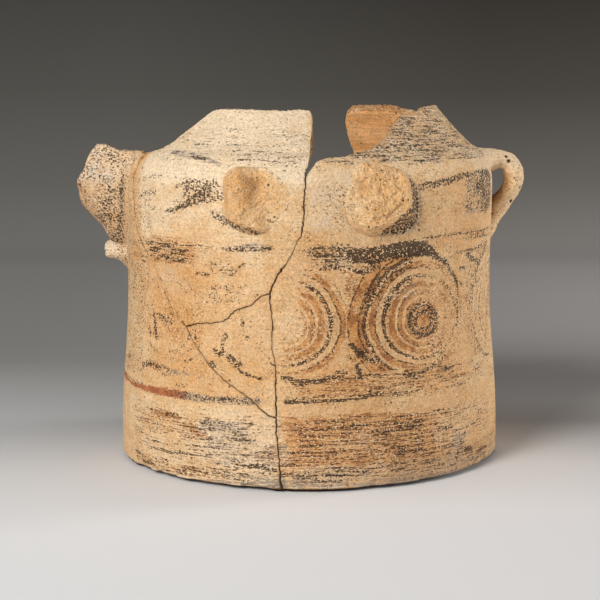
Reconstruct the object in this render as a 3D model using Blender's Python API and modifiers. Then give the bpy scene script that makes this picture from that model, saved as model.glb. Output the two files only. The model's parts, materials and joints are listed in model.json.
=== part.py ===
"""Bridge-spouted jar: an earthenware jar that was broken long ago and put back together from its sherds.

The jar's axis is Z and it stands on z = 0. The broken spout points along -X, the loop handle along +X, and
the two stumps of the lost front handle face -Y. Angles are degrees about Z from +X. Heights on the wall are
given on a scale of their own: 0 is the base, 1 the foot of the neck and 2 the rim.
"""

import math

import bmesh
import bpy
from mathutils import Matrix, Vector
from mathutils.bvhtree import BVHTree

# Turned body, in metres
FOOT_RADIUS = 0.0998
FOOT_HEIGHT = 0.0136
FOOT_ROUND = 0.0035
WAIST_RADIUS = 0.0957
WAIST_HEIGHT = 0.092
SHOULDER_RADIUS = 0.0963
SHOULDER_HEIGHT = 0.1435
SHOULDER_REACH = 0.014
SHOULDER_RISE = 0.0195
SHOULDER_TURN = 75.0
NECK_REACH = 0.0199
NECK_RISE = 0.0217
NECK_HOLLOW = 0.0005
WALL = 0.0052
FOOT_WALL = 0.0075
FLOOR = 0.007
TURN_STEPS = 72

# Breaks and the materials that close them
BREAK_GAP = 0.0009
GLUE_FILM = 0.0003
GLUE_RECESS = 0.0009
GLUE_TRIM = 0.0025
SEAT_GAP = 0.0003
ROUTE_STEP = 0.0045
BLADE_OVERRUN = 0.002

# Spout, a trough whose bridge is lost, and the pellet below it
SPOUT_ANGLE = 180.0
SPOUT_REACH = 0.0262
SPOUT_TOP_DROP = 0.0016
SPOUT_DEPTH = 0.0479
SPOUT_ROOT_WIDTH = 0.046
SPOUT_END_WIDTH = 0.036
SPOUT_STEP = 0.0088
SPOUT_CLIMB = 0.021
SPOUT_WALL = 0.005
SPOUT_RAKE = 22.0
POUR_WIDTH = 0.026
POUR_DEPTH = 0.029
PELLET_RADIUS = 0.0054
PELLET_REACH = 0.0118
PELLET_CLEARANCE = 0.0006

# Loop handle opposite the spout
HANDLE_THICKNESS = 0.0102
HANDLE_WIDTH = 0.0155
HANDLE_REACH = 0.0125
HANDLE_TOP_DROP = 0.0065
HANDLE_BEND_DROP = 0.0145
HANDLE_LOW_DROP = 0.0420

# Stumps of the lost horizontal handles: where each root sits, how wide it is and how far it stands out
STUMP_DROP = 0.0200
STUMP_LEAN = 12.0
FRONT_STUMP_LEFT = {"angle": -107.5, "lean": STUMP_LEAN, "root": 0.0150, "broken": 0.0105, "height": 0.0075}
FRONT_STUMP_RIGHT = {"angle": -70.0, "lean": -STUMP_LEAN, "root": 0.0180, "broken": 0.0130, "height": 0.0090}
BACK_STUMP = {"angle": 116.0, "lean": -STUMP_LEAN, "root": 0.0150, "broken": 0.0110, "height": 0.0075}

# Routes of the breaks on the wall, as (degrees, wall height); the front one parts left from right
FRONT_BREAK_UPPER = [
    (-87.5, 1.02), (-89.6, 0.967), (-91.4, 0.93), (-91.6, 0.84), (-92.7, 0.77),
    (-95.3, 0.727), (-97.6, 0.665), (-101.3, 0.592),
]
TRIANGLE_RIGHT_BREAK = [(-101.3, 0.592), (-100.5, 0.444), (-99.5, 0.339), (-99.0, 0.228)]
FRONT_BREAK_LOWER = [(-99.0, 0.228), (-98.0, 0.105), (-97.4, -0.03)]
TRIANGLE_TOP_BREAK = [(-101.3, 0.592), (-110.0, 0.542), (-115.0, 0.507), (-122.0, 0.499), (-129.0, 0.481)]
TRIANGLE_LEFT_BREAK = [(-129.0, 0.481), (-123.5, 0.419), (-110.0, 0.302), (-103.0, 0.256), (-99.0, 0.228)]
SPOUT_SEAM_BREAK = [(-129.0, 0.481), (-137.0, 0.573), (-146.0, 0.672)]
FILL_RIGHT_EDGE = [(-146.0, 0.672), (-153.0, 0.727), (-156.0, 0.789), (-157.4, 0.90), (-156.0, 1.05)]
FILL_LEFT_EDGE = [(-146.0, 0.672), (-156.0, 0.70), (-160.0, 0.79), (-162.5, 0.90), (-162.0, 1.05)]
BACK_BREAK = [(85.0, 0.85), (86.0, 0.76), (84.0, 0.62), (88.0, 0.46), (82.0, 0.26), (83.0, -0.03)]

# Broken upper edge all the way round; 2.2 is clear of the rim, so the neck stands whole there
BROKEN_EDGE = [
    (-180.0, 0.95), (-168.0, 0.98), (-155.0, 0.99), (-152.0, 1.08), (-147.5, 1.31), (-141.0, 1.68),
    (-137.0, 1.86), (-134.5, 1.95), (-89.0, 1.95), (-88.3, 0.98), (-85.0, 1.0), (-79.0, 1.02), (-69.5, 1.10),
    (-64.6, 1.26), (-60.4, 1.40), (-55.6, 1.58), (-50.0, 1.81), (-41.0, 1.83), (-36.0, 1.94), (-28.5, 2.2),
    (5.0, 2.2), (20.0, 1.78), (28.0, 1.75), (42.0, 1.83), (50.0, 1.94), (69.5, 1.95), (71.4, 1.72),
    (71.8, 0.93), (75.0, 0.85), (80.0, 0.79), (87.0, 0.77), (94.0, 0.82), (100.0, 0.93), (112.0, 1.01),
    (128.0, 0.95), (140.0, 1.04), (152.0, 0.96), (165.0, 0.95), (180.0, 0.95),
]

# Break across the floor disc, as shares of its radius (right, away from the front)
FLOOR_BREAK = [(-0.135, -1.06), (-0.15, -0.5), (-0.10, -0.05), (-0.14, 0.2), (0.02, 0.62), (0.125, 1.06)]

# A point on each piece of the wall, as (degrees, wall height)
WALL_PIECES = {
    "left_wall_sherd": (150.0, 0.35),
    "upper_left_sherd": (-122.0, 0.80),
    "triangle_sherd": (-109.0, 0.43),
    "right_wall_sherd": (-30.0, 0.50),
    "seam_fill": (-159.5, 0.85),
}
GLUE_ROUTES = {
    "front_upper_glue": FRONT_BREAK_UPPER[1:],
    "triangle_top_glue": TRIANGLE_TOP_BREAK,
    "triangle_right_glue": TRIANGLE_RIGHT_BREAK,
    "triangle_left_glue": TRIANGLE_LEFT_BREAK,
    "front_lower_glue": FRONT_BREAK_LOWER[:-1] + [(-97.5, 0.0)],
    "spout_seam_glue": SPOUT_SEAM_BREAK,
    "back_glue": BACK_BREAK[1:-1] + [(83.0, 0.0)],
}

# Colours as linear red, green and blue
BUFF_CLAY = (0.60, 0.41, 0.22)
SPOUT_CLAY = (0.55, 0.36, 0.20)
BROKEN_CLAY = (0.57, 0.34, 0.15)
TONED_PLASTER = (0.63, 0.43, 0.25)
DRIED_GLUE = (0.13, 0.08, 0.04)


def fresh_collection(name):
    collection = bpy.data.collections.new(name)
    bpy.context.scene.collection.children.link(collection)
    return collection


for old in list(bpy.data.objects):
    bpy.data.objects.remove(old, do_unlink=True)
PARTS = fresh_collection("bridge_spouted_jar")
CUTTERS = fresh_collection("bridge_spouted_jar_cutters")


def add_part(name, mesh, colour, roughness=0.9):
    """A named piece with its own clay, plaster or glue material."""
    material = bpy.data.materials.new(name + "_material")
    material.use_nodes = True
    shader = material.node_tree.nodes["Principled BSDF"]
    shader.inputs["Base Color"].default_value = (*colour, 1.0)
    shader.inputs["Roughness"].default_value = roughness
    shader.inputs["Metallic"].default_value = 0.0
    mesh.materials.clear()
    mesh.materials.append(material)
    mesh.shade_smooth()
    mesh.set_sharp_from_angle(angle=math.radians(35.0))
    part = bpy.data.objects.new(name, mesh)
    PARTS.objects.link(part)
    return part


def add_cutter(name, mesh):
    cutter = bpy.data.objects.new(name, mesh)
    cutter.hide_render = True
    cutter.display_type = "WIRE"
    CUTTERS.objects.link(cutter)
    return cutter


def cut(part, cutter, solver="EXACT"):
    modifier = part.modifiers.new("cut by " + cutter.name, "BOOLEAN")
    modifier.operation = "DIFFERENCE"
    modifier.solver = solver
    modifier.object = cutter


def evaluated_mesh(source):
    """The object's mesh with its modifiers applied."""
    bpy.context.view_layer.update()
    return bpy.data.meshes.new_from_object(source.evaluated_get(bpy.context.evaluated_depsgraph_get()))


def mesh_from(bm, name):
    mesh = bpy.data.meshes.new(name)
    bm.to_mesh(mesh)
    bm.free()
    return mesh


def loft(name, sections, ring=False):
    """A closed solid through sections of equal point count, capped at both ends or joined into a ring."""
    bm = bmesh.new()
    rows = [[bm.verts.new(point) for point in section] for section in sections]
    pairs = list(zip(rows, rows[1:]))
    if ring:
        pairs.append((rows[-1], rows[0]))
    else:
        bm.faces.new(rows[0])
        bm.faces.new(rows[-1])
    count = len(rows[0])
    for near, far in pairs:
        for i in range(count):
            j = (i + 1) % count
            bm.faces.new((near[i], near[j], far[j], far[i]))
    bmesh.ops.triangulate(bm, faces=bm.faces)
    bmesh.ops.recalc_face_normals(bm, faces=bm.faces)
    return mesh_from(bm, name)


def outer_profile():
    """Outside of the jar as (radius, height), from the rim down to the base."""
    points = []
    turn = math.radians(SHOULDER_TURN)
    centre = SHOULDER_RADIUS - SHOULDER_REACH
    foot = (centre + SHOULDER_REACH * math.cos(turn), SHOULDER_HEIGHT + SHOULDER_RISE * math.sin(turn))
    rim = (foot[0] - NECK_REACH, foot[1] + NECK_RISE)
    middle = ((foot[0] + rim[0]) / 2 - NECK_HOLLOW, (foot[1] + rim[1]) / 2 - NECK_HOLLOW)
    neck_steps = 5
    for i in range(neck_steps):
        t = i / neck_steps
        pull = [2 * middle[k] - (foot[k] + rim[k]) / 2 for k in (0, 1)]
        points.append([rim[k] * (1 - t) ** 2 + pull[k] * 2 * t * (1 - t) + foot[k] * t ** 2 for k in (0, 1)])
    shoulder_steps = 6
    for i in range(shoulder_steps + 1):
        a = turn * (1 - i / shoulder_steps)
        points.append([centre + SHOULDER_REACH * math.cos(a), SHOULDER_HEIGHT + SHOULDER_RISE * math.sin(a)])
    stretches = [
        (SHOULDER_HEIGHT, SHOULDER_RADIUS, WAIST_HEIGHT, WAIST_RADIUS),
        (WAIST_HEIGHT, WAIST_RADIUS, FOOT_HEIGHT, FOOT_RADIUS),
    ]
    wall_steps = 3
    for top, top_radius, low, low_radius in stretches:
        for i in range(1, wall_steps + 1):
            t = i / wall_steps
            eased = (1 - math.cos(math.pi * t)) / 2
            points.append([top_radius + (low_radius - top_radius) * eased, top + (low - top) * t])
    foot_steps = 3
    for i in range(foot_steps + 1):
        a = math.pi / 2 * i / foot_steps
        points.append([FOOT_RADIUS - FOOT_ROUND * (1 - math.cos(a)), FOOT_ROUND * (1 - math.sin(a))])
    return points


def offset_profile(points, distance):
    """The profile moved sideways, out of the jar for a positive distance."""
    moved = []
    for i, (radius, height) in enumerate(points):
        before = points[max(i - 1, 0)]
        after = points[min(i + 1, len(points) - 1)]
        along = Vector((after[0] - before[0], after[1] - before[1])).normalized()
        moved.append([radius - along.y * distance, height + along.x * distance])
    return moved


OUTSIDE = outer_profile()
INSIDE = [point for point in offset_profile(OUTSIDE, -WALL) if point[1] > FOOT_HEIGHT]
NECK_FOOT = SHOULDER_HEIGHT + SHOULDER_RISE * math.sin(math.radians(SHOULDER_TURN))
SEAT_RADIUS = FOOT_RADIUS - FOOT_WALL


def radius_at(profile, height):
    """Radius of a profile at a height, straight between its points."""
    for (upper_radius, upper), (lower_radius, lower) in zip(profile, profile[1:]):
        if lower <= height <= upper and upper > lower:
            t = (height - lower) / (upper - lower)
            return lower_radius + (upper_radius - lower_radius) * t
    return profile[0][0] if height > profile[0][1] else profile[-1][0]


def wall_height(level):
    return NECK_FOOT * level if level <= 1 else NECK_FOOT + NECK_RISE * (level - 1)


def around(angle, radius, height):
    turn = math.radians(angle)
    return Vector((radius * math.cos(turn), radius * math.sin(turn), height))


def turned(name, profile, closed):
    """A profile turned about the jar's axis."""
    bm = bmesh.new()
    verts = [bm.verts.new((radius, 0.0, height)) for radius, height in profile]
    for first, second in zip(verts, verts[1:]):
        bm.edges.new((first, second))
    if closed:
        bm.edges.new((verts[-1], verts[0]))
    source = bpy.data.objects.new(name, mesh_from(bm, name + "_profile"))
    CUTTERS.objects.link(source)
    screw = source.modifiers.new("turn", "SCREW")
    screw.steps = TURN_STEPS
    screw.render_steps = TURN_STEPS
    screw.use_merge_vertices = True
    screw.merge_threshold = 0.00001
    mesh = evaluated_mesh(source)
    bpy.data.objects.remove(source)
    return mesh


def whole_wall():
    """The wall as it was thrown, with a rounded lip and a plain seat for the floor."""
    lip = (Vector(OUTSIDE[0]) + Vector(INSIDE[0])) / 2
    lip += (Vector(OUTSIDE[0]) - Vector(OUTSIDE[1])).normalized() * WALL / 4
    seat = [(SEAT_RADIUS, FLOOR + FOOT_WALL), (SEAT_RADIUS, 0.0)]
    return turned("wall", OUTSIDE + seat[::-1] + INSIDE[::-1] + [tuple(lip)], True)


def envelope():
    """Everything inside the wall's outer face and a seat gap beyond it, for fitting what was stuck on."""
    skin = offset_profile(OUTSIDE, SEAT_GAP)
    margin = FLOOR
    return turned("envelope", [(0.0, skin[0][1] + margin), (skin[0][0], skin[0][1] + margin)] + skin
                  + [(skin[-1][0], -margin), (0.0, -margin)], False)


def stepped(route):
    """A route on the wall as flat (along, up) points, at most one route step apart."""
    flat = [Vector((math.radians(angle) * SHOULDER_RADIUS, wall_height(level))) for angle, level in route]
    points = [flat[0]]
    for start, end in zip(flat, flat[1:]):
        count = max(1, math.ceil((end - start).length / ROUTE_STEP))
        points += [start.lerp(end, i / count) for i in range(1, count + 1)]
    return points


def both_sides(points, thicknesses):
    """Two lines that run beside a flat route, half its thickness away on either side."""
    left, right = [], []
    for i, (point, thickness) in enumerate(zip(points, thicknesses)):
        into = (point - points[i - 1]).normalized() if i else (points[1] - point).normalized()
        away = (points[i + 1] - point).normalized() if i + 1 < len(points) else into
        mean = (into + away).normalized()
        shift = Vector((-mean.y, mean.x)) * (thickness / 2 / max(mean.dot(into), 0.5))
        left.append(point + shift)
        right.append(point - shift)
    return left, right


def wrapped(point, radius):
    return around(math.degrees(point.x / SHOULDER_RADIUS), radius, point.y)


def wall_blade(name, *stretches):
    """A thin radial sheet along a break, wide enough to part the wall; each stretch has a route and a gap."""
    points = []
    gaps = []
    for route, gap in stretches:
        fresh = stepped(route)[1 if points else 0:]
        points += fresh
        gaps += [gap] * len(fresh)
    sections = wall_strip(*both_sides(points, gaps), FOOT_WALL - WALL + BLADE_OVERRUN, BLADE_OVERRUN)
    return add_cutter(name, loft(name, sections))


def wall_strip(left, right, past_inside, past_outside):
    """Sections of a strip that crosses the wall between two lines and runs past its inner and outer faces."""
    sections = []
    for a, b in zip(left, right):
        section = []
        for point, profile, past in ((a, INSIDE, -past_inside), (a, OUTSIDE, past_outside),
                                     (b, OUTSIDE, past_outside), (b, INSIDE, -past_inside)):
            section.append(wrapped(point, radius_at(profile, point.y) + past))
        sections.append(section)
    return sections


def trimmed(points, length):
    """Flat points with a length taken off both ends."""
    for _ in range(2):
        left = length
        while len(points) > 2 and (points[1] - points[0]).length <= left:
            left -= (points[1] - points[0]).length
            points = points[1:]
        points = [points[0] + (points[1] - points[0]).normalized() * left] + points[1:]
        points = points[::-1]
    return points


def add_glue(name, route):
    """A film of old adhesive between two sherds, set back from both faces of the wall."""
    points = trimmed(stepped(route), GLUE_TRIM)
    sides = both_sides(points, [GLUE_FILM] * len(points))
    add_part(name, loft(name, wall_strip(*sides, -GLUE_RECESS, -GLUE_RECESS)), DRIED_GLUE, 0.5)


def broken_away():
    """The lost part of the neck: a ring above the broken edge, with its lower face square to the wall."""
    angles = sorted({angle for angle, _ in BROKEN_EDGE} | set(range(-180, 180, 5)))
    core = SHOULDER_RADIUS - SHOULDER_REACH - NECK_REACH - 4 * WALL
    top = wall_height(2.0) + 4 * WALL
    reach = 1.8 * WALL
    sections = []
    for angle in angles[:-1]:
        for (start, low), (end, high) in zip(BROKEN_EDGE, BROKEN_EDGE[1:]):
            if start <= angle < end:
                edge = wall_height(low + (high - low) * (angle - start) / (end - start))
        outer, inner = [square_to_wall(edge, distance) for distance in (reach, -reach)]
        section = [inner, outer, (outer[0], top), (core, top), (core, inner[1])]
        sections.append([around(angle, *point) for point in section])
    return add_cutter("broken_away", loft("broken_away", sections, ring=True))


def square_to_wall(height, distance):
    """The (radius, height) at a distance out from the jar's outer face, square to it."""
    step = WALL / 4
    level = min(height, OUTSIDE[0][1] - step)
    along = Vector((radius_at(OUTSIDE, level + step) - radius_at(OUTSIDE, level - step), 2 * step)).normalized()
    return (radius_at(OUTSIDE, height) + along.y * distance, height - along.x * distance)


def pour_hole():
    """The opening from the jar into the spout: a round-bottomed notch in the wall."""
    bm = bmesh.new()
    across = Matrix.Rotation(math.pi / 2, 4, "Y")
    length = SPOUT_REACH + 4 * WALL
    floor = NECK_FOOT - POUR_DEPTH + POUR_WIDTH / 2
    bmesh.ops.create_cone(bm, cap_ends=True, segments=24, radius1=POUR_WIDTH / 2, radius2=POUR_WIDTH / 2,
                          depth=length, matrix=across)
    round_bottom = add_cutter("pour_hole_round", mesh_from(bm, "pour_hole_round"))
    bm = bmesh.new()
    bmesh.ops.create_cube(bm, size=1.0)
    bmesh.ops.scale(bm, vec=(length, POUR_WIDTH, POUR_DEPTH), verts=bm.verts)
    square_top = add_cutter("pour_hole_top", mesh_from(bm, "pour_hole_top"))
    round_bottom.location = around(SPOUT_ANGLE, SHOULDER_RADIUS, floor)
    square_top.location = around(SPOUT_ANGLE, SHOULDER_RADIUS, floor + POUR_DEPTH / 2)
    for cutter in (round_bottom, square_top):
        cutter.rotation_euler.z = math.radians(SPOUT_ANGLE)
    return [round_bottom, square_top]


def build_wall():
    """Break the thrown wall along its routes and name what is left by where it lies."""
    wall = bpy.data.objects.new("whole_wall", whole_wall())
    CUTTERS.objects.link(wall)
    front = FRONT_BREAK_UPPER + TRIANGLE_RIGHT_BREAK[1:] + FRONT_BREAK_LOWER[1:]
    cutters = [broken_away()] + pour_hole()
    upper = TRIANGLE_TOP_BREAK + SPOUT_SEAM_BREAK[1:]
    cutters.append(wall_blade("front_break", (front, BREAK_GAP)))
    cutters.append(wall_blade("upper_break", (upper, BREAK_GAP), (FILL_RIGHT_EDGE, SEAT_GAP)))
    cutters.append(wall_blade("triangle_left_break", (TRIANGLE_LEFT_BREAK, BREAK_GAP)))
    cutters.append(wall_blade("fill_left_edge", (FILL_LEFT_EDGE, SEAT_GAP)))
    cutters.append(wall_blade("back_break", (BACK_BREAK, BREAK_GAP)))
    for cutter in cutters:
        # The exact solver loses whole sherds where several thin breaks meet.
        cut(wall, cutter, "MANIFOLD")
    broken = evaluated_mesh(wall)
    bpy.data.objects.remove(wall)
    bodies = loose_bodies(broken)
    for name, (angle, level) in WALL_PIECES.items():
        height = wall_height(level)
        seed = around(angle, radius_at(OUTSIDE, height), height)
        body = min(bodies, key=lambda bm: BVHTree.FromBMesh(bm).find_nearest(seed)[3])
        colour = TONED_PLASTER if name == "seam_fill" else BUFF_CLAY
        add_part(name, mesh_from(body.copy(), name), colour)
    for body in bodies:
        body.free()


def loose_bodies(mesh):
    """The separate bodies of a mesh, each as its own bmesh."""
    whole = bmesh.new()
    whole.from_mesh(mesh)
    bmesh.ops.remove_doubles(whole, verts=whole.verts, dist=0.000001)
    whole.faces.index_update()
    groups = []
    seen = set()
    for face in whole.faces:
        if face.index in seen:
            continue
        group = set()
        waiting = [face]
        while waiting:
            current = waiting.pop()
            if current.index in group:
                continue
            group.add(current.index)
            for edge in current.edges:
                waiting += [other for other in edge.link_faces if other.index not in group]
        seen |= group
        groups.append(group)
    bodies = []
    for group in groups:
        body = whole.copy()
        body.faces.index_update()
        others = [face for face in body.faces if face.index not in group]
        bmesh.ops.delete(body, geom=others, context="FACES")
        bodies.append(body)
    whole.free()
    return bodies


def build_floor():
    """The floor disc that the wall was built up round, in two halves."""
    radius = SEAT_RADIUS - SEAT_GAP
    points = [Vector((x * radius, y * radius)) for x, y in FLOOR_BREAK]
    sections = []
    for a, b in zip(*both_sides(points, [BREAK_GAP] * len(points))):
        sections.append([(a.x, a.y, -FLOOR), (a.x, a.y, 2 * FLOOR), (b.x, b.y, 2 * FLOOR), (b.x, b.y, -FLOOR)])
    blade = add_cutter("floor_break", loft("floor_break", sections))
    bm = bmesh.new()
    bmesh.ops.create_cone(bm, cap_ends=True, segments=TURN_STEPS, radius1=radius, radius2=radius, depth=FLOOR,
                          matrix=Matrix.Translation((0.0, 0.0, FLOOR / 2)))
    disc = bpy.data.objects.new("floor_disc", mesh_from(bm, "floor_disc"))
    CUTTERS.objects.link(disc)
    cut(disc, blade)
    halves = loose_bodies(evaluated_mesh(disc))
    bpy.data.objects.remove(disc)
    halves.sort(key=lambda bm: sum(v.co.x for v in bm.verts) / len(bm.verts))
    for name, half in zip(("left_base_sherd", "right_base_sherd"), halves):
        add_part(name, mesh_from(half, name), BUFF_CLAY)
    film = []
    inside = trimmed(points, points[0].length - radius + GLUE_TRIM)
    for a, b in zip(*both_sides(inside, [GLUE_FILM] * len(inside))):
        film.append([(a.x, a.y, GLUE_RECESS), (a.x, a.y, FLOOR - GLUE_RECESS),
                     (b.x, b.y, FLOOR - GLUE_RECESS), (b.x, b.y, GLUE_RECESS)])
    add_part("base_glue", loft("base_glue", film), DRIED_GLUE, 0.5)


def trough_section(along):
    """One U-shaped section of the spout; along is 0 at the wall and 1 at the broken end."""
    out = SPOUT_REACH * along
    half = (SPOUT_ROOT_WIDTH + (SPOUT_END_WIDTH - SPOUT_ROOT_WIDTH) * max(along, 0.0)) / 2
    climb = max(out - SPOUT_STEP, 0.0) / (SPOUT_REACH - SPOUT_STEP)
    depth = SPOUT_DEPTH - SPOUT_CLIMB * climb ** 0.6
    steps = 12
    section = []
    for shrink, order in ((0.0, range(steps + 1)), (SPOUT_WALL, range(steps, -1, -1))):
        for i in order:
            a = math.pi * i / steps
            sink = math.sin(a) ** 0.8 if 0 < i < steps else 0.0
            height = NECK_FOOT - SPOUT_TOP_DROP - (depth - shrink) * sink
            section.append((-(SHOULDER_RADIUS + out), (half - shrink) * math.cos(a), height))
    return section


def build_spout(body):
    stations = (-0.5, -0.2, 0.1, 0.34, 0.38, 0.44, 0.55, 0.75, 1.0, 1.25)
    spout = add_part("spout", loft("spout", [trough_section(u) for u in stations]), SPOUT_CLAY)
    bm = bmesh.new()
    size = 2 * SPOUT_DEPTH
    bmesh.ops.create_cube(bm, size=size)
    end_cut = add_cutter("spout_end_cut", mesh_from(bm, "spout_end_cut"))
    rake = math.radians(SPOUT_RAKE)
    outward = Vector((-math.cos(rake), 0.0, math.sin(rake)))
    low = NECK_FOOT - SPOUT_TOP_DROP - SPOUT_DEPTH
    low_end = Vector((-(SHOULDER_RADIUS + SPOUT_REACH), 0.0, low + SPOUT_CLIMB))
    end_cut.location = low_end + outward * size / 2
    end_cut.rotation_euler.y = rake
    cut(spout, end_cut)
    cut(spout, body)

    bm = bmesh.new()
    bmesh.ops.create_uvsphere(bm, u_segments=16, v_segments=10, radius=PELLET_RADIUS)
    far_side = [vert for vert in bm.verts if vert.co.x > -PELLET_RADIUS / 10]
    bmesh.ops.translate(bm, vec=(PELLET_REACH, 0.0, 0.0), verts=far_side)
    pellet = add_part("spout_pellet", mesh_from(bm, "spout_pellet"), SPOUT_CLAY)
    height = low - PELLET_CLEARANCE - PELLET_RADIUS
    pellet.location = around(SPOUT_ANGLE, radius_at(OUTSIDE, height) - PELLET_RADIUS, height)
    pellet.rotation_euler.z = math.radians(SPOUT_ANGLE)
    cut(pellet, body)


def build_handle(body):
    """A loop rolled by hand, bent round and pressed on to the shoulder and the wall."""
    top = NECK_FOOT - HANDLE_TOP_DROP
    bend = NECK_FOOT - HANDLE_BEND_DROP
    low = NECK_FOOT - HANDLE_LOW_DROP
    reach = SHOULDER_RADIUS + HANDLE_REACH
    knee = low + (bend - low) * 0.55
    route = [
        (radius_at(OUTSIDE, top) - WALL / 2, top - WALL / 10),
        (SHOULDER_RADIUS + HANDLE_REACH * 0.25, top),
        (reach, bend),
        (SHOULDER_RADIUS + HANDLE_REACH * 0.68, knee),
        (SHOULDER_RADIUS + HANDLE_REACH * 0.20, low + (bend - low) * 0.2),
        (radius_at(OUTSIDE, low) - WALL / 2, low),
    ]
    curve = bpy.data.curves.new("rear_handle_path", "CURVE")
    curve.dimensions = "3D"
    curve.bevel_depth = HANDLE_THICKNESS / 2
    curve.bevel_resolution = 3
    curve.resolution_u = 5
    curve.use_fill_caps = True
    spline = curve.splines.new("BEZIER")
    spline.bezier_points.add(len(route) - 1)
    for point, (x, z) in zip(spline.bezier_points, route):
        point.co = (x, 0.0, z)
        point.handle_left_type = "AUTO"
        point.handle_right_type = "AUTO"
    path = bpy.data.objects.new("rear_handle_path", curve)
    CUTTERS.objects.link(path)
    mesh = evaluated_mesh(path)
    bpy.data.objects.remove(path)
    bm = bmesh.new()
    bm.from_mesh(mesh)
    bmesh.ops.remove_doubles(bm, verts=bm.verts, dist=0.00001)
    bmesh.ops.scale(bm, vec=(1.0, HANDLE_WIDTH / HANDLE_THICKNESS, 1.0), verts=bm.verts)
    bmesh.ops.recalc_face_normals(bm, faces=bm.faces)
    handle = add_part("rear_handle", mesh_from(bm, "rear_handle"), BUFF_CLAY)
    cut(handle, body)


def build_stump(name, size, body):
    """The root of a horizontal handle, snapped off short and leaning towards the lost loop."""
    bm = bmesh.new()
    depth = size["height"] + WALL / 2
    seat = Matrix.Translation((0.0, 0.0, size["height"] - depth / 2))
    bmesh.ops.create_cone(bm, cap_ends=True, segments=24, radius1=size["root"], radius2=size["broken"],
                          depth=depth, matrix=seat)
    stump = add_part(name, mesh_from(bm, name), BROKEN_CLAY, 0.95)
    height = NECK_FOOT - STUMP_DROP
    stump.location = around(size["angle"], radius_at(OUTSIDE, height), height)
    stump.rotation_mode = "QUATERNION"
    stump.rotation_quaternion = around(size["angle"] + size["lean"], 1.0, 0.0).to_track_quat("Z", "Y")
    cut(stump, body)


build_wall()
build_floor()
for glue_name, glue_route in GLUE_ROUTES.items():
    add_glue(glue_name, glue_route)
jar_body = add_cutter("jar_body", envelope())
build_spout(jar_body)
build_handle(jar_body)
build_stump("front_handle_stump_left", FRONT_STUMP_LEFT, jar_body)
build_stump("front_handle_stump_right", FRONT_STUMP_RIGHT, jar_body)
build_stump("back_handle_stump", BACK_STUMP, jar_body)
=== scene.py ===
import json
import math
import random

import bmesh
import bpy
import numpy as np
from mathutils import Matrix, Vector, kdtree, noise

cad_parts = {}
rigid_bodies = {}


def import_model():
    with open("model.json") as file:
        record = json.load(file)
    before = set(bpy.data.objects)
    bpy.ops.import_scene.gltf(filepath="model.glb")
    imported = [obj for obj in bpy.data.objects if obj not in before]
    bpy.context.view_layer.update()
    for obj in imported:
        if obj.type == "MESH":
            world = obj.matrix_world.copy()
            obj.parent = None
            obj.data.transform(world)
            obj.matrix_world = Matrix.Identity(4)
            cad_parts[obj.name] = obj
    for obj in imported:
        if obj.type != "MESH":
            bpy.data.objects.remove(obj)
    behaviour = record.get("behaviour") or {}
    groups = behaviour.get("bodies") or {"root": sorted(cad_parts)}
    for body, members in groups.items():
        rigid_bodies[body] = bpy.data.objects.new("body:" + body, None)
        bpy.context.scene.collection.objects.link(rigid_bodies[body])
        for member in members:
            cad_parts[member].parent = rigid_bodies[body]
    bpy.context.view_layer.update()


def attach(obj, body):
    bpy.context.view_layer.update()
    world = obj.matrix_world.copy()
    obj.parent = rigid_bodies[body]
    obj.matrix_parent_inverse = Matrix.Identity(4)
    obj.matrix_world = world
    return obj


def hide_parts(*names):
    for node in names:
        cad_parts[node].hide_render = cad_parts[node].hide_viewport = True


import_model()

# WALL SHERDS. The jar's wall was thrown on a wheel from buff clay, painted with brown-black, orange and red
# slip and fired. It broke into four big sherds, which are glued edge to edge, and most of its neck is lost.

# The wall's outline in metres, and the steps in which lines along it are drawn
FOOT_RADIUS = 0.0998
FOOT_HEIGHT = 0.0136
FOOT_ROUND = 0.0035
WAIST_RADIUS = 0.0957
WAIST_HEIGHT = 0.092
SHOULDER_RADIUS = 0.0963
SHOULDER_HEIGHT = 0.1435
SHOULDER_REACH = 0.014
SHOULDER_RISE = 0.0195
SHOULDER_TURN = math.radians(75.0)
NECK_REACH = 0.0199
NECK_RISE = 0.0217
NECK_HOLLOW = 0.0005
WALL = 0.0052
FOOT_WALL = 0.0075
FLOOR = 0.007
SKIN_STEP = 0.00086
INSIDE_STEP = 0.0024
FINE_STEP = 0.0004
SEAT_RADIUS = FOOT_RADIUS - FOOT_WALL
NECK_FOOT = SHOULDER_HEIGHT + SHOULDER_RISE * math.sin(SHOULDER_TURN)
# A mm in metres, and a degree round the waist in mm
MM = 0.001
ARC = math.radians(1.0) * WAIST_RADIUS / MM


def eased(t):
    """A share from 0 to 1 that starts and stops slowly."""
    return (1 - math.cos(math.pi * t)) / 2


def unit(value):
    """A value kept between 0 and 1."""
    return np.clip(value, 0, 1)


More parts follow.
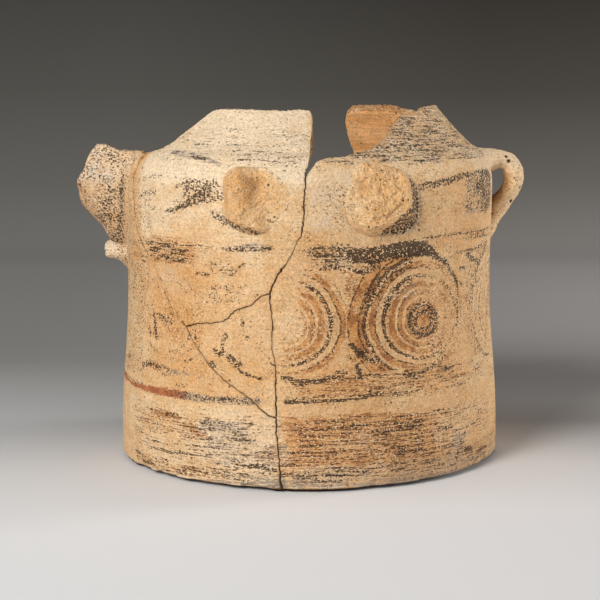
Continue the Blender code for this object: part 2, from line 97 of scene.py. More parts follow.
def outer_line():
    """Outer face of the wall as close (radius, height) points, from the base up to the rim."""
    line = []
    for i in range(9):
        a = math.pi / 2 * (1 - i / 8)
        line.append((FOOT_RADIUS - FOOT_ROUND * (1 - math.cos(a)), FOOT_ROUND * (1 - math.sin(a))))
    for low, low_radius, top, top_radius in (
        (FOOT_HEIGHT, FOOT_RADIUS, WAIST_HEIGHT, WAIST_RADIUS),
        (WAIST_HEIGHT + MM, WAIST_RADIUS, SHOULDER_HEIGHT, SHOULDER_RADIUS),
    ):
        for i in range(31):
            radius = low_radius + (top_radius - low_radius) * eased(i / 30)
            line.append((radius, low + (top - low) * i / 30))
    for i in range(1, 25):
        a = SHOULDER_TURN * i / 24
        line.append((SHOULDER_RADIUS - SHOULDER_REACH * (1 - math.cos(a)),
                     SHOULDER_HEIGHT + SHOULDER_RISE * math.sin(a)))
    foot_radius, foot = line[-1]
    for i in range(1, 21):
        t = i / 20
        hollow = NECK_HOLLOW * 4 * t * (1 - t)
        line.append((foot_radius - NECK_REACH * t - hollow, foot + NECK_RISE * t - hollow))
    return np.array(line)


def runs(points):
    """Unit steps along a line of points."""
    run = np.gradient(points, axis=0)
    return run / np.linalg.norm(run, axis=1)[:, None]


def spaced(line, step):
    """A line of points set again at even distances, and its normals to the right of its run."""
    length = np.concatenate([[0.0], np.cumsum(np.linalg.norm(np.diff(line, axis=0), axis=1))])
    at = np.linspace(0.0, length[-1], max(2, int(round(length[-1] / step)) + 1))
    points = np.stack([np.interp(at, length, line[:, k]) for k in range(line.shape[1])], axis=1)
    run = runs(points)
    return points, np.stack([run[:, 1], -run[:, 0]], axis=1)


OUTER = outer_line()


def radius_at(height):
    """How far the wall's outer face is from the jar's middle at a height."""
    return np.interp(height, OUTER[8:, 1], OUTER[8:, 0])


def lumps(place, octaves=4):
    """Smooth noise about 0 at one place, which halves with each doubling of its waves."""
    return noise.fractal(place, 1.0, 2.0, octaves)


def clay_noise(points, scale, octaves=4, flatten=1.0, seed=0):
    """Smooth noise at points in metres; flatten draws it out along the turn of the wheel."""
    shift = Vector((7.31 * seed, 3.17 * seed, 5.53 * seed))
    across = scale * flatten
    places = (Vector((x * across, y * across, z * scale)) for x, y, z in points)
    return np.array([lumps(place + shift, octaves) for place in places])


def window(value, low, high, soft):
    """1 between low and high, falling smoothly to 0 over soft outside them."""
    rise = unit((value - low) / soft + 1)
    fall = unit((high - value) / soft + 1)
    return rise * rise * (3 - 2 * rise) * fall * fall * (3 - 2 * fall)


def through_points(points, count):
    """A smooth line through a few chosen points."""
    chosen = np.array(points, float)
    padded = np.concatenate([[2 * chosen[0] - chosen[1]], chosen, [2 * chosen[-1] - chosen[-2]]])
    line = []
    for t in np.linspace(0, len(chosen) - 1, count):
        k = min(int(t), len(chosen) - 2)
        a, b, c, d = padded[k:k + 4]
        f = t - k
        bend = (2 * a - 5 * b + 4 * c - d) * f ** 2 + (3 * b - a - 3 * c + d) * f ** 3
        line.append(0.5 * (2 * b + (c - a) * f + bend))
    return np.array(line)


def near_line(x, y, points, widths, soft):
    """Which points in flat mm lie on a line of some width or beside it, and how fully, from 0 to 1."""
    line = np.column_stack([points, np.broadcast_to(widths, len(points))])
    margin = line[:, 2].max() / 2 + soft
    near = np.where((x > line[:, 0].min() - margin) & (x < line[:, 0].max() + margin)
                    & (y > line[:, 1].min() - margin) & (y < line[:, 1].max() + margin))[0]
    best = np.zeros(len(near))
    for start, end in zip(line, line[1:]):
        run = end[:2] - start[:2]
        t = ((x[near] - start[0]) * run[0] + (y[near] - start[1]) * run[1]) / max(run @ run, 1e-9)
        t = unit(t)
        gap = np.hypot(x[near] - start[0] - t * run[0], y[near] - start[1] - t * run[1])
        half = (start[2] + t * (end[2] - start[2])) / 2
        best = np.maximum(best, unit(0.5 + (half - gap) / soft))
    return near, best


def spun(profile, turn):
    """Rows of places where (radius, height) points come to lie when turned about the jar's middle."""
    across = np.stack([np.cos(turn), np.sin(turn)], axis=1)
    flat = profile[:, None, 0, None] * across[None]
    up = np.broadcast_to(profile[:, None, 1, None], (*flat.shape[:2], 1))
    return np.concatenate([flat, up], axis=2)


def grid_faces(rows, columns, closed):
    """Faces between rows of points that run round the jar; closed joins the last row to the first."""
    i, j = np.meshgrid(np.arange(rows if closed else rows - 1), np.arange(columns), indexing="ij")
    i2, j2 = (i + 1) % rows, (j + 1) % columns
    faces = [i * columns + j, i * columns + j2, i2 * columns + j2, i2 * columns + j]
    return np.stack(faces, axis=-1).reshape(-1, 4)


# Columns of the wall's mesh in degrees, as (from, to, step), closer on the side that the photo shows
FRONT_COLUMNS = (-172.0, -8.0, 0.5)
BACK_COLUMNS = (-8.0, 188.0, 0.8)
# The bead of plaster that stands beside the spout, as (degrees, mm)
BEAD = [(-149, 113.2), (-152.6, 117.6), (-154.8, 122.5), (-156, 128), (-157, 138), (-157.4, 150)]
BEAD_WIDTH = 0.6
# Pits in the skin and chips along the foot, as (how many, from and to in mm up, radii and depths in mm)
PITS = ((420, 4, 180, (0.9, 1.9), (0.12, 0.4)), (70, 0, 3, (1.6, 4.2), (0.3, 1.1)))
CURVE_POINTS = 40


def take_pits(place, move, outside):
    """Takes the pits and chips out of the moves of the skin's points."""
    tree = kdtree.KDTree(len(place))
    for i, point in enumerate(place):
        tree.insert(point, i)
    tree.balance()
    chance = random.Random(11)
    for count, low, high, radii, depths in PITS:
        for _ in range(count):
            at = chance.uniform(low, high) * MM
            turned = chance.uniform(-math.pi, math.pi)
            radius = chance.uniform(*radii) * MM
            depth = chance.uniform(*depths)
            centre = (radius_at(at) * math.cos(turned), radius_at(at) * math.sin(turned), at)
            for _, i, gap in tree.find_range(centre, radius):
                if outside[i]:
                    move[i] -= depth * (1 - (gap / radius) ** 2)


def thrown_wall():
    """The whole wall before it broke: ridged by the wheel, pitted, and chipped along its foot."""
    skin, skin_out = spaced(OUTER, SKIN_STEP)
    inner, inner_out = spaced(OUTER, INSIDE_STEP)
    inner = inner - inner_out * WALL
    inner = inner[inner[:, 1] > FOOT_HEIGHT + 0.004][::-1]
    lip_out = skin[-1] - skin[-2]
    lip = (skin[-1] + inner[0]) / 2 + lip_out / np.linalg.norm(lip_out) * WALL / 4
    seat = np.array([(SEAT_RADIUS, h) for h in np.linspace(FLOOR + FOOT_WALL, 0.0, 7)])
    loop = np.concatenate([skin, [lip], inner, seat])
    out = np.concatenate([skin_out, [[0.0, 0.0]], np.tile([-1.0, 0.0], (len(inner) + len(seat), 1))])
    turn = np.radians(np.concatenate([np.arange(*FRONT_COLUMNS), np.arange(*BACK_COLUMNS)]))
    rows, columns = len(loop), len(turn)
    place = spun(loop, turn).reshape(-1, 3)
    away = spun(out, turn).reshape(-1, 3)
    height = place[:, 2] / MM
    angle = np.degrees(np.arctan2(place[:, 1], place[:, 0]))
    outside = np.repeat(np.arange(rows) < len(skin), columns)

    # How far each point moves out, in mm: swells, ridges left by the wheel, the bead and a scar on the foot
    ridged = 0.5 + window(height, 0, 40, 15) + window(height, 160, 190, 8)
    move = 0.22 * clay_noise(place, 18, 2) + 0.07 * clay_noise(place, 130)
    move += ridged * (0.05 * clay_noise(place, 420, 2, 0.02) + 0.035 * clay_noise(place, 1000, 2, 0.02, 3))
    inside_ridges = 0.5 * clay_noise(place, 190, 2, 0.02, 5) + 0.3 * clay_noise(place, 430, 2, 0.02, 6)
    move = np.where(outside, move, inside_ridges)
    bead = through_points(BEAD, CURVE_POINTS) * (ARC, 1)
    near, share = near_line(angle * ARC, height, bead, BEAD_WIDTH, 1.6)
    move[near] += 0.5 * share * outside[near]
    scar_top = 2.4 + 1.6 * clay_noise(place, 90, 3, 1.0, 8)
    scar = window(angle, -150, -104, 5) * unit((scar_top - height) / 0.7 + 0.5)
    move -= np.where(outside, 1.5 * scar, 0.0)
    take_pits(place, move, outside)
    move = np.where(outside & (height < 1.2), np.minimum(move, 0.0), move)
    place = place + away * (move * MM)[:, None]
    lifted = 1.4 * window(angle, -70, -22, 14) * unit(1 - height / 6)
    place[:, 2] += np.where(outside, lifted, 0.0) * MM
    place[:, 2] = np.maximum(place[:, 2], 0.0)

    quads = grid_faces(rows, columns, True)
    mesh = bpy.data.meshes.new("thrown_wall")
    mesh.from_pydata(place.tolist(), [], quads.tolist())
    faces_in = np.arange(len(quads)) // columns >= len(skin) - 1
    mesh.polygons.foreach_set("material_index", faces_in.astype(np.int32))
    return mesh


# Breaks as (degrees about the jar from its right side, height in mm), and how wide each gapes in mm
FRONT_BREAK_UPPER = [
    (-87.5, 166, 1), (-89.8, 157.5, 1), (-91.1, 152.5, 0.9), (-91.3, 146, 0.45), (-91.6, 140, 0.6),
    (-91.5, 135, 0.5), (-91.9, 130, 0.55), (-92.1, 127, 0.45), (-92.4, 123.5, 0.35), (-93.6, 121, 0.2),
    (-94.4, 117.5, 0.2), (-95.1, 115, 0.25), (-96.1, 112, 0.25), (-97, 109.7, 0.4), (-98, 107.8, 0.9),
    (-99, 105.5, 0.7), (-99.7, 103, 0.5), (-100.6, 100.5, 0.65), (-101.2, 97.5, 0.7),
]
TRIANGLE_RIGHT_BREAK = [
    (-101.4, 95.8, 0.6), (-101.5, 92, 0.4), (-101.2, 88, 0.35), (-100.9, 84, 0.3), (-100.7, 79, 0.45),
    (-100.9, 74, 0.3), (-100.9, 70, 0.3), (-100.3, 66, 0.25), (-99.9, 62, 0.3), (-99.7, 57, 0.4),
    (-99.8, 50, 0.4), (-99.6, 44, 0.45), (-99.5, 37, 0.5),
]
FRONT_BREAK_LOWER = [
    (-99.4, 30, 0.5), (-99.2, 25, 0.45), (-98.8, 18, 0.4), (-98.5, 11, 0.5), (-98.2, 5, 0.7),
    (-97.8, 0, 1), (-97.6, -4, 1.2),
]
TRIANGLE_TOP_BREAK = [
    (-101.4, 95.8, 0.6), (-102.6, 95.6, 0.5), (-104, 94.6, 0.4), (-105.3, 92.8, 0.35), (-107, 90.2, 0.35),
    (-109, 88.8, 0.4), (-111, 87.9, 0.35), (-112.5, 86.4, 0.4), (-114.4, 83.2, 0.3), (-116, 81.4, 0.35),
    (-120, 80.3, 0.35), (-123.5, 79.8, 0.3), (-126, 79, 0.35), (-128, 77.8, 0.55), (-129, 77.4, 0.6),
]
TRIANGLE_LEFT_BREAK = [
    (-129, 77.4, 0.4), (-127.4, 73.4, 0.2), (-126, 70, 0.2), (-124.5, 67.6, 0.26), (-122.4, 64, 0.28),
    (-120.4, 60, 0.3), (-118.5, 57.4, 0.3), (-116.4, 54.8, 0.34), (-114, 52, 0.36), (-112, 50.1, 0.34),
    (-110, 48, 0.3), (-107, 45, 0.34), (-105, 42, 0.4), (-103, 39, 0.5), (-101.4, 37.2, 0.6),
    (-99.5, 36.4, 0.6),
]
SPOUT_SEAM_BREAK = [
    (-130.5, 79.6, 0.25), (-132.5, 82, 0.2), (-134, 84.2, 0.15), (-134.8, 87, 0.12), (-137, 91.5, 0.1),
    (-139, 96, 0.1), (-143, 103, 0.1), (-146, 109, 0.1),
]
HAIRLINE = 0.08
FILL_RIGHT_EDGE = [(angle, height, HAIRLINE) for angle, height in (
    (-149, 113.2), (-152.6, 117.6), (-154.8, 122.5), (-156, 128), (-157, 138), (-157.4, 146),
    (-156.4, 158), (-156, 168),
)]
FILL_LEFT_EDGE = [(angle, height, HAIRLINE) for angle, height in (
    (-146, 109), (-153, 112), (-157, 116), (-160, 128), (-162, 140), (-162.6, 150), (-162, 168),
)]
BACK_BREAK = [
    (85, 142, 0.5), (86, 123, 0.4), (84.6, 112, 0.35), (84, 100.6, 0.4), (86.4, 88, 0.3), (88, 74.6, 0.4),
    (84.5, 58, 0.35), (82, 42, 0.4), (83, 20, 0.35), (83, -4, 0.9),
]
BROKEN_EDGE = [
    (-180, 155), (-172, 158), (-168, 159.4), (-160, 160.4), (-155, 161), (-152, 162), (-150, 163),
    (-147.5, 165.2), (-145.8, 167), (-144.2, 170.3), (-142, 173), (-140, 175.6), (-138, 178.6),
    (-136, 181), (-134, 182.3), (-131, 183), (-120, 183.2), (-110, 182.8), (-100, 182.5), (-94, 183.1),
    (-91, 182.8), (-89.6, 182), (-88.8, 180.6), (-88.6, 166), (-88.2, 158.6), (-87, 159.6), (-85, 160.6),
    (-80, 161.1), (-76, 162.4), (-70, 164), (-67, 166.3), (-64, 168.2), (-61, 170.2), (-58, 173.2),
    (-55, 175.6), (-52, 177.6), (-49, 179.6), (-46.5, 180.5), (-44, 179.9), (-40, 179.6), (-37.5, 180.2),
    (-35, 181.6), (-32, 182.8), (-28, 183.4), (-14, 183.6), (0, 183.4), (8, 182.6), (15.6, 180.2),
    (20, 178.6), (25, 177.8), (29, 177.6), (33, 180), (41, 181), (43, 182.4), (50, 182.8), (66, 182.6),
    (69, 181.6), (71, 179.4), (72, 176.4), (72.2, 168), (71.8, 153), (75, 139), (80, 128.4), (87, 125),
    (94, 133), (100, 151), (112, 162.6), (128, 154), (140, 163.2), (152, 156), (165, 154.4), (179.2, 155),
]

# Each break's zigzags come from a seed of its own
FRONT_SEED, UPPER_SEED, LEFT_SEED, FILL_SEED, BACK_SEED, FLOOR_SEED = 31, 32, 33, 34, 35, 36
LOST_SEED, NOTCH_SEED = 21, 5


def jagged(route, seed, jitter=0.16, step=1.1):
    """A break's points in flat mm with the zigzags of a fracture, and their gaps if the route has any."""
    flat = np.array([(point[0] * ARC, *point[1:]) for point in route], float)
    points, _ = spaced(flat[:, :2], step)
    reach = np.linalg.norm(np.diff(flat[:, :2], axis=0), axis=1)
    along = np.concatenate([[0], np.cumsum(reach)]) / reach.sum()
    share = np.linspace(0, 1, len(points))
    chance = np.random.default_rng(seed)
    ends = unit(np.minimum(share, 1 - share) * len(points) / 2)[:, None]
    points = points + chance.normal(0, jitter, points.shape) * ends
    if flat.shape[1] < 3:
        return points, None
    gaps = np.interp(share, along, flat[:, 2])
    return points, gaps * (1 + 0.35 * chance.uniform(-1, 1, len(gaps)))


def on_wall(flat, out=0.0):
    """Flat (along, up) mm as a place on the wall, out mm away from its outer face."""
    turn = math.radians(flat[0] / ARC)
    radius = float(radius_at(flat[1] * MM)) + out * MM
    return (radius * math.cos(turn), radius * math.sin(turn), flat[1] * MM)


def loft(name, sections, ring=False):
    """A closed skin through sections of equal point count."""
    bm = bmesh.new()
    rows = [[bm.verts.new(point) for point in section] for section in sections]
    pairs = list(zip(rows, rows[1:]))
    if ring:
        pairs.append((rows[-1], rows[0]))
    else:
        bm.faces.new(rows[0])
        bm.faces.new(rows[-1])
    count = len(rows[0])
    for near, far in pairs:
        for i in range(count):
            bm.faces.new((near[i], near[(i + 1) % count], far[(i + 1) % count], far[i]))
    bmesh.ops.triangulate(bm, faces=[face for face in bm.faces if len(face.verts) > 4])
    bmesh.ops.recalc_face_normals(bm, faces=bm.faces)
    mesh = bpy.data.meshes.new(name)
    bm.to_mesh(mesh)
    bm.free()
    return mesh


def sideways(points):
    """Unit steps to the left of a flat run of points."""
    run = runs(points)
    return np.stack([-run[:, 1], run[:, 0]], axis=1)


# How much of a break's gap is cut, and how deep in mm
CUT_SHARE = 0.92
CUT_DEPTH = 9.5


def break_blade(name, route, seed, flare=0.45, jitter=0.16):
    """A thin cutter along a break, a little wider at the outer face, where the edges have crumbled."""
    points, gaps = jagged(route, seed, jitter)
    sections = []
    for point, gap, aside in zip(points, gaps * CUT_SHARE, sideways(points)):
        levels = ((-CUT_DEPTH, gap), (-1.1, gap), (-0.45, gap * (1 + 0.4 * flare)),
                  (0.0, gap * (1 + flare)), (1.5, gap * (1 + 2 * flare)))
        section = [on_wall(point + aside * width / 2, out) for out, width in levels]
        section += [on_wall(point - aside * width / 2, out) for out, width in reversed(levels)]
        sections.append(section)
    return loft(name, sections)


# The ring of lost clay: its bore, its top and its least outer radius in metres, and the neck's rim in mm
LOST_CORE = 0.040
LOST_TOP = 0.20
LOST_RIM = 0.07
RIM_HEIGHT = 183.6


def lost_neck():
    """What is gone from the neck, with a rough, worn lower face that runs square through the wall."""
    points, _ = jagged(BROKEN_EDGE, LOST_SEED, 0.14, 1.0)
    # The edge never turns back on its way round, or the ring would cut itself
    points[:, 0] = np.maximum.accumulate(points[:, 0] + np.linspace(0, 0.05, len(points)))
    line, line_out = spaced(OUTER, FINE_STEP)
    sections = []
    for x, y in points:
        turn = math.radians(x / ARC)
        around = Vector((math.cos(turn), math.sin(turn), 0.0))
        nearest = int(np.argmin(np.abs(line[:, 1] - min(y, RIM_HEIGHT) * MM)))
        out = line_out[nearest]
        base = Vector((float(radius_at(y * MM)), y * MM))
        down = Vector((out[1], -out[0]))
        if down.y > 0:
            down = -down
        section = []
        for depth in (-9.0, -5.6, -4.9, -3.6, -2.6, -1.4, -0.35, 0.3, 5.0):
            worn = 1.1 * min(abs((depth + 2.6) / 2.6), 1.35) ** 4
            rough = 0.55 * lumps(Vector((x * 0.35, y * 0.35, depth * 0.5)))
            at = base + Vector(out) * depth * MM + down * (worn + rough) * MM
            section.append(around * at.x + Vector((0, 0, at.y)))
        rim = section[-1].xy.length
        for reach, up in ((max(rim, LOST_RIM), LOST_TOP), (LOST_CORE, LOST_TOP), (LOST_CORE, section[0].z)):
            section.append(around * reach + Vector((0, 0, up)))
        sections.append(section)
    return loft("lost_neck", sections, ring=True)


# The notch's edge on the outer face, as (degrees, mm)
NOTCH_EDGE = [
    (-88.75, 187), (-88.8, 181), (-88.7, 177), (-89.1, 172), (-89.7, 167), (-90.0, 162), (-90.4, 157.5),
    (-90.8, 154), (-91.0, 152.0),
]


def neck_notch():
    """The slanting break at the right of the left neck fragment, cut deeper on the inside of the wall."""
    points, _ = jagged(NOTCH_EDGE, NOTCH_SEED, 0.13, 0.9)
    sections = []
    for x, y in points:
        slant = 1.0 + 3.0 * (186 - y) / 34
        narrow = min(max((y - 152.0) / 6.6, 0.0), 1.0)
        right = max(x + 0.5, (-90.9 + 2.6 * narrow) * ARC)
        corners_at = ((x + slant * 1.5 * narrow, -CUT_DEPTH), (x + slant * narrow, -6.5),
                      (x + slant * 0.35 * narrow, -2.6), (x - 0.05, 0.0), (x - 0.2, 2.0), (right, 2.0),
                      (right + 6.5 * narrow, -CUT_DEPTH))
        sections.append([on_wall((along, y), out) for along, out in corners_at])
    return loft("neck_notch", sections)


# The hole from the jar into the spout, in metres
POUR_WIDTH = 0.026
POUR_DEPTH = 0.029


def pour_hole():
    """The round-bottomed hole from the jar into the spout, open at its top."""
    half = POUR_WIDTH / 2
    low = NECK_FOOT - POUR_DEPTH
    ring = [(-half, NECK_FOOT + 0.03)]
    for a in np.linspace(math.pi, 2 * math.pi, 25):
        ring.append((half * math.cos(a), low + half * (1 + math.sin(a))))
    ring.append((half, NECK_FOOT + 0.03))
    return loft("pour_hole", [[(x, y, z) for y, z in ring] for x in (-0.13, -0.07)])


def shown(name, content):
    """A mesh, lamp or camera as an object in the scene."""
    thing = bpy.data.objects.new(name, content)
    bpy.context.scene.collection.objects.link(thing)
    return thing


wall = shown("thrown_wall", thrown_wall())
fracture = bpy.data.materials.new("fracture_mark")
for mark in ("skin_mark", "inside_mark"):
    wall.data.materials.append(bpy.data.materials.new(mark))
front_route = FRONT_BREAK_UPPER + TRIANGLE_RIGHT_BREAK + FRONT_BREAK_LOWER
upper_route = TRIANGLE_TOP_BREAK + SPOUT_SEAM_BREAK + FILL_RIGHT_EDGE
cutters = [
    lost_neck(),
    neck_notch(),
    pour_hole(),
    break_blade("front_break", front_route, FRONT_SEED),
    break_blade("upper_break", upper_route, UPPER_SEED),
    break_blade("left_break", TRIANGLE_LEFT_BREAK, LEFT_SEED),
    break_blade("fill_edge", FILL_LEFT_EDGE, FILL_SEED, 0.0, 0.05),
    break_blade("back_break", BACK_BREAK, BACK_SEED),
]


def cut_up(whole, blades):
    """The mesh left when blades have cut a whole piece; their material marks the new faces."""
    for blade in blades:
        cut = whole.modifiers.new(blade.name, "BOOLEAN")
        cut.operation = "DIFFERENCE"
        cut.solver = "MANIFOLD"
        cut.material_mode = "TRANSFER"
        cut.object = blade
    bpy.context.view_layer.update()
    left = bpy.data.meshes.new_from_object(whole.evaluated_get(bpy.context.evaluated_depsgraph_get()))
    for used in blades + [whole]:
        bpy.data.objects.remove(used)
    return left


for mesh in cutters:
    mesh.materials.append(fracture)
broken = cut_up(wall, [shown(mesh.name, mesh) for mesh in cutters])

# A point on each sherd as (degrees, mm), by which it is told from the others
SHERDS = {
    "left_wall_sherd": (150, 57),
    "upper_left_sherd": (-122, 120),
    "triangle_sherd": (-109, 70),
    "right_wall_sherd": (-30, 80),
    "seam_fill": (-159.5, 138),
}


def loose_pieces(mesh):
    """The separate bodies of a mesh, each as an object of its own."""
    whole = shown("loose", mesh)
    bpy.context.view_layer.objects.active = whole
    for other in bpy.context.selected_objects:
        other.select_set(False)
    whole.select_set(True)
    before = set(bpy.data.objects)
    bpy.ops.object.mode_set(mode="EDIT")
    bpy.ops.mesh.select_all(action="SELECT")
    bpy.ops.mesh.separate(type="LOOSE")
    bpy.ops.object.mode_set(mode="OBJECT")
    return [whole] + [thing for thing in bpy.data.objects if thing not in before]


def corners(mesh):
    """The places of a mesh's points."""
    places = np.empty(len(mesh.vertices) * 3)
    mesh.vertices.foreach_get("co", places)
    return places.reshape(-1, 3)


bodies = loose_pieces(broken)
sherds = {}
for node_name, (angle, height) in SHERDS.items():
    seed_place = np.array(on_wall((angle * ARC, height)))
    nearest = min(bodies, key=lambda body: np.linalg.norm(corners(body.data) - seed_place, axis=1).min())
    sherds[node_name] = nearest
for body in bodies:
    if body not in sherds.values():
        bpy.data.objects.remove(body)
for node_name, sherd in sherds.items():
    sherd.name = node_name + "_fired"

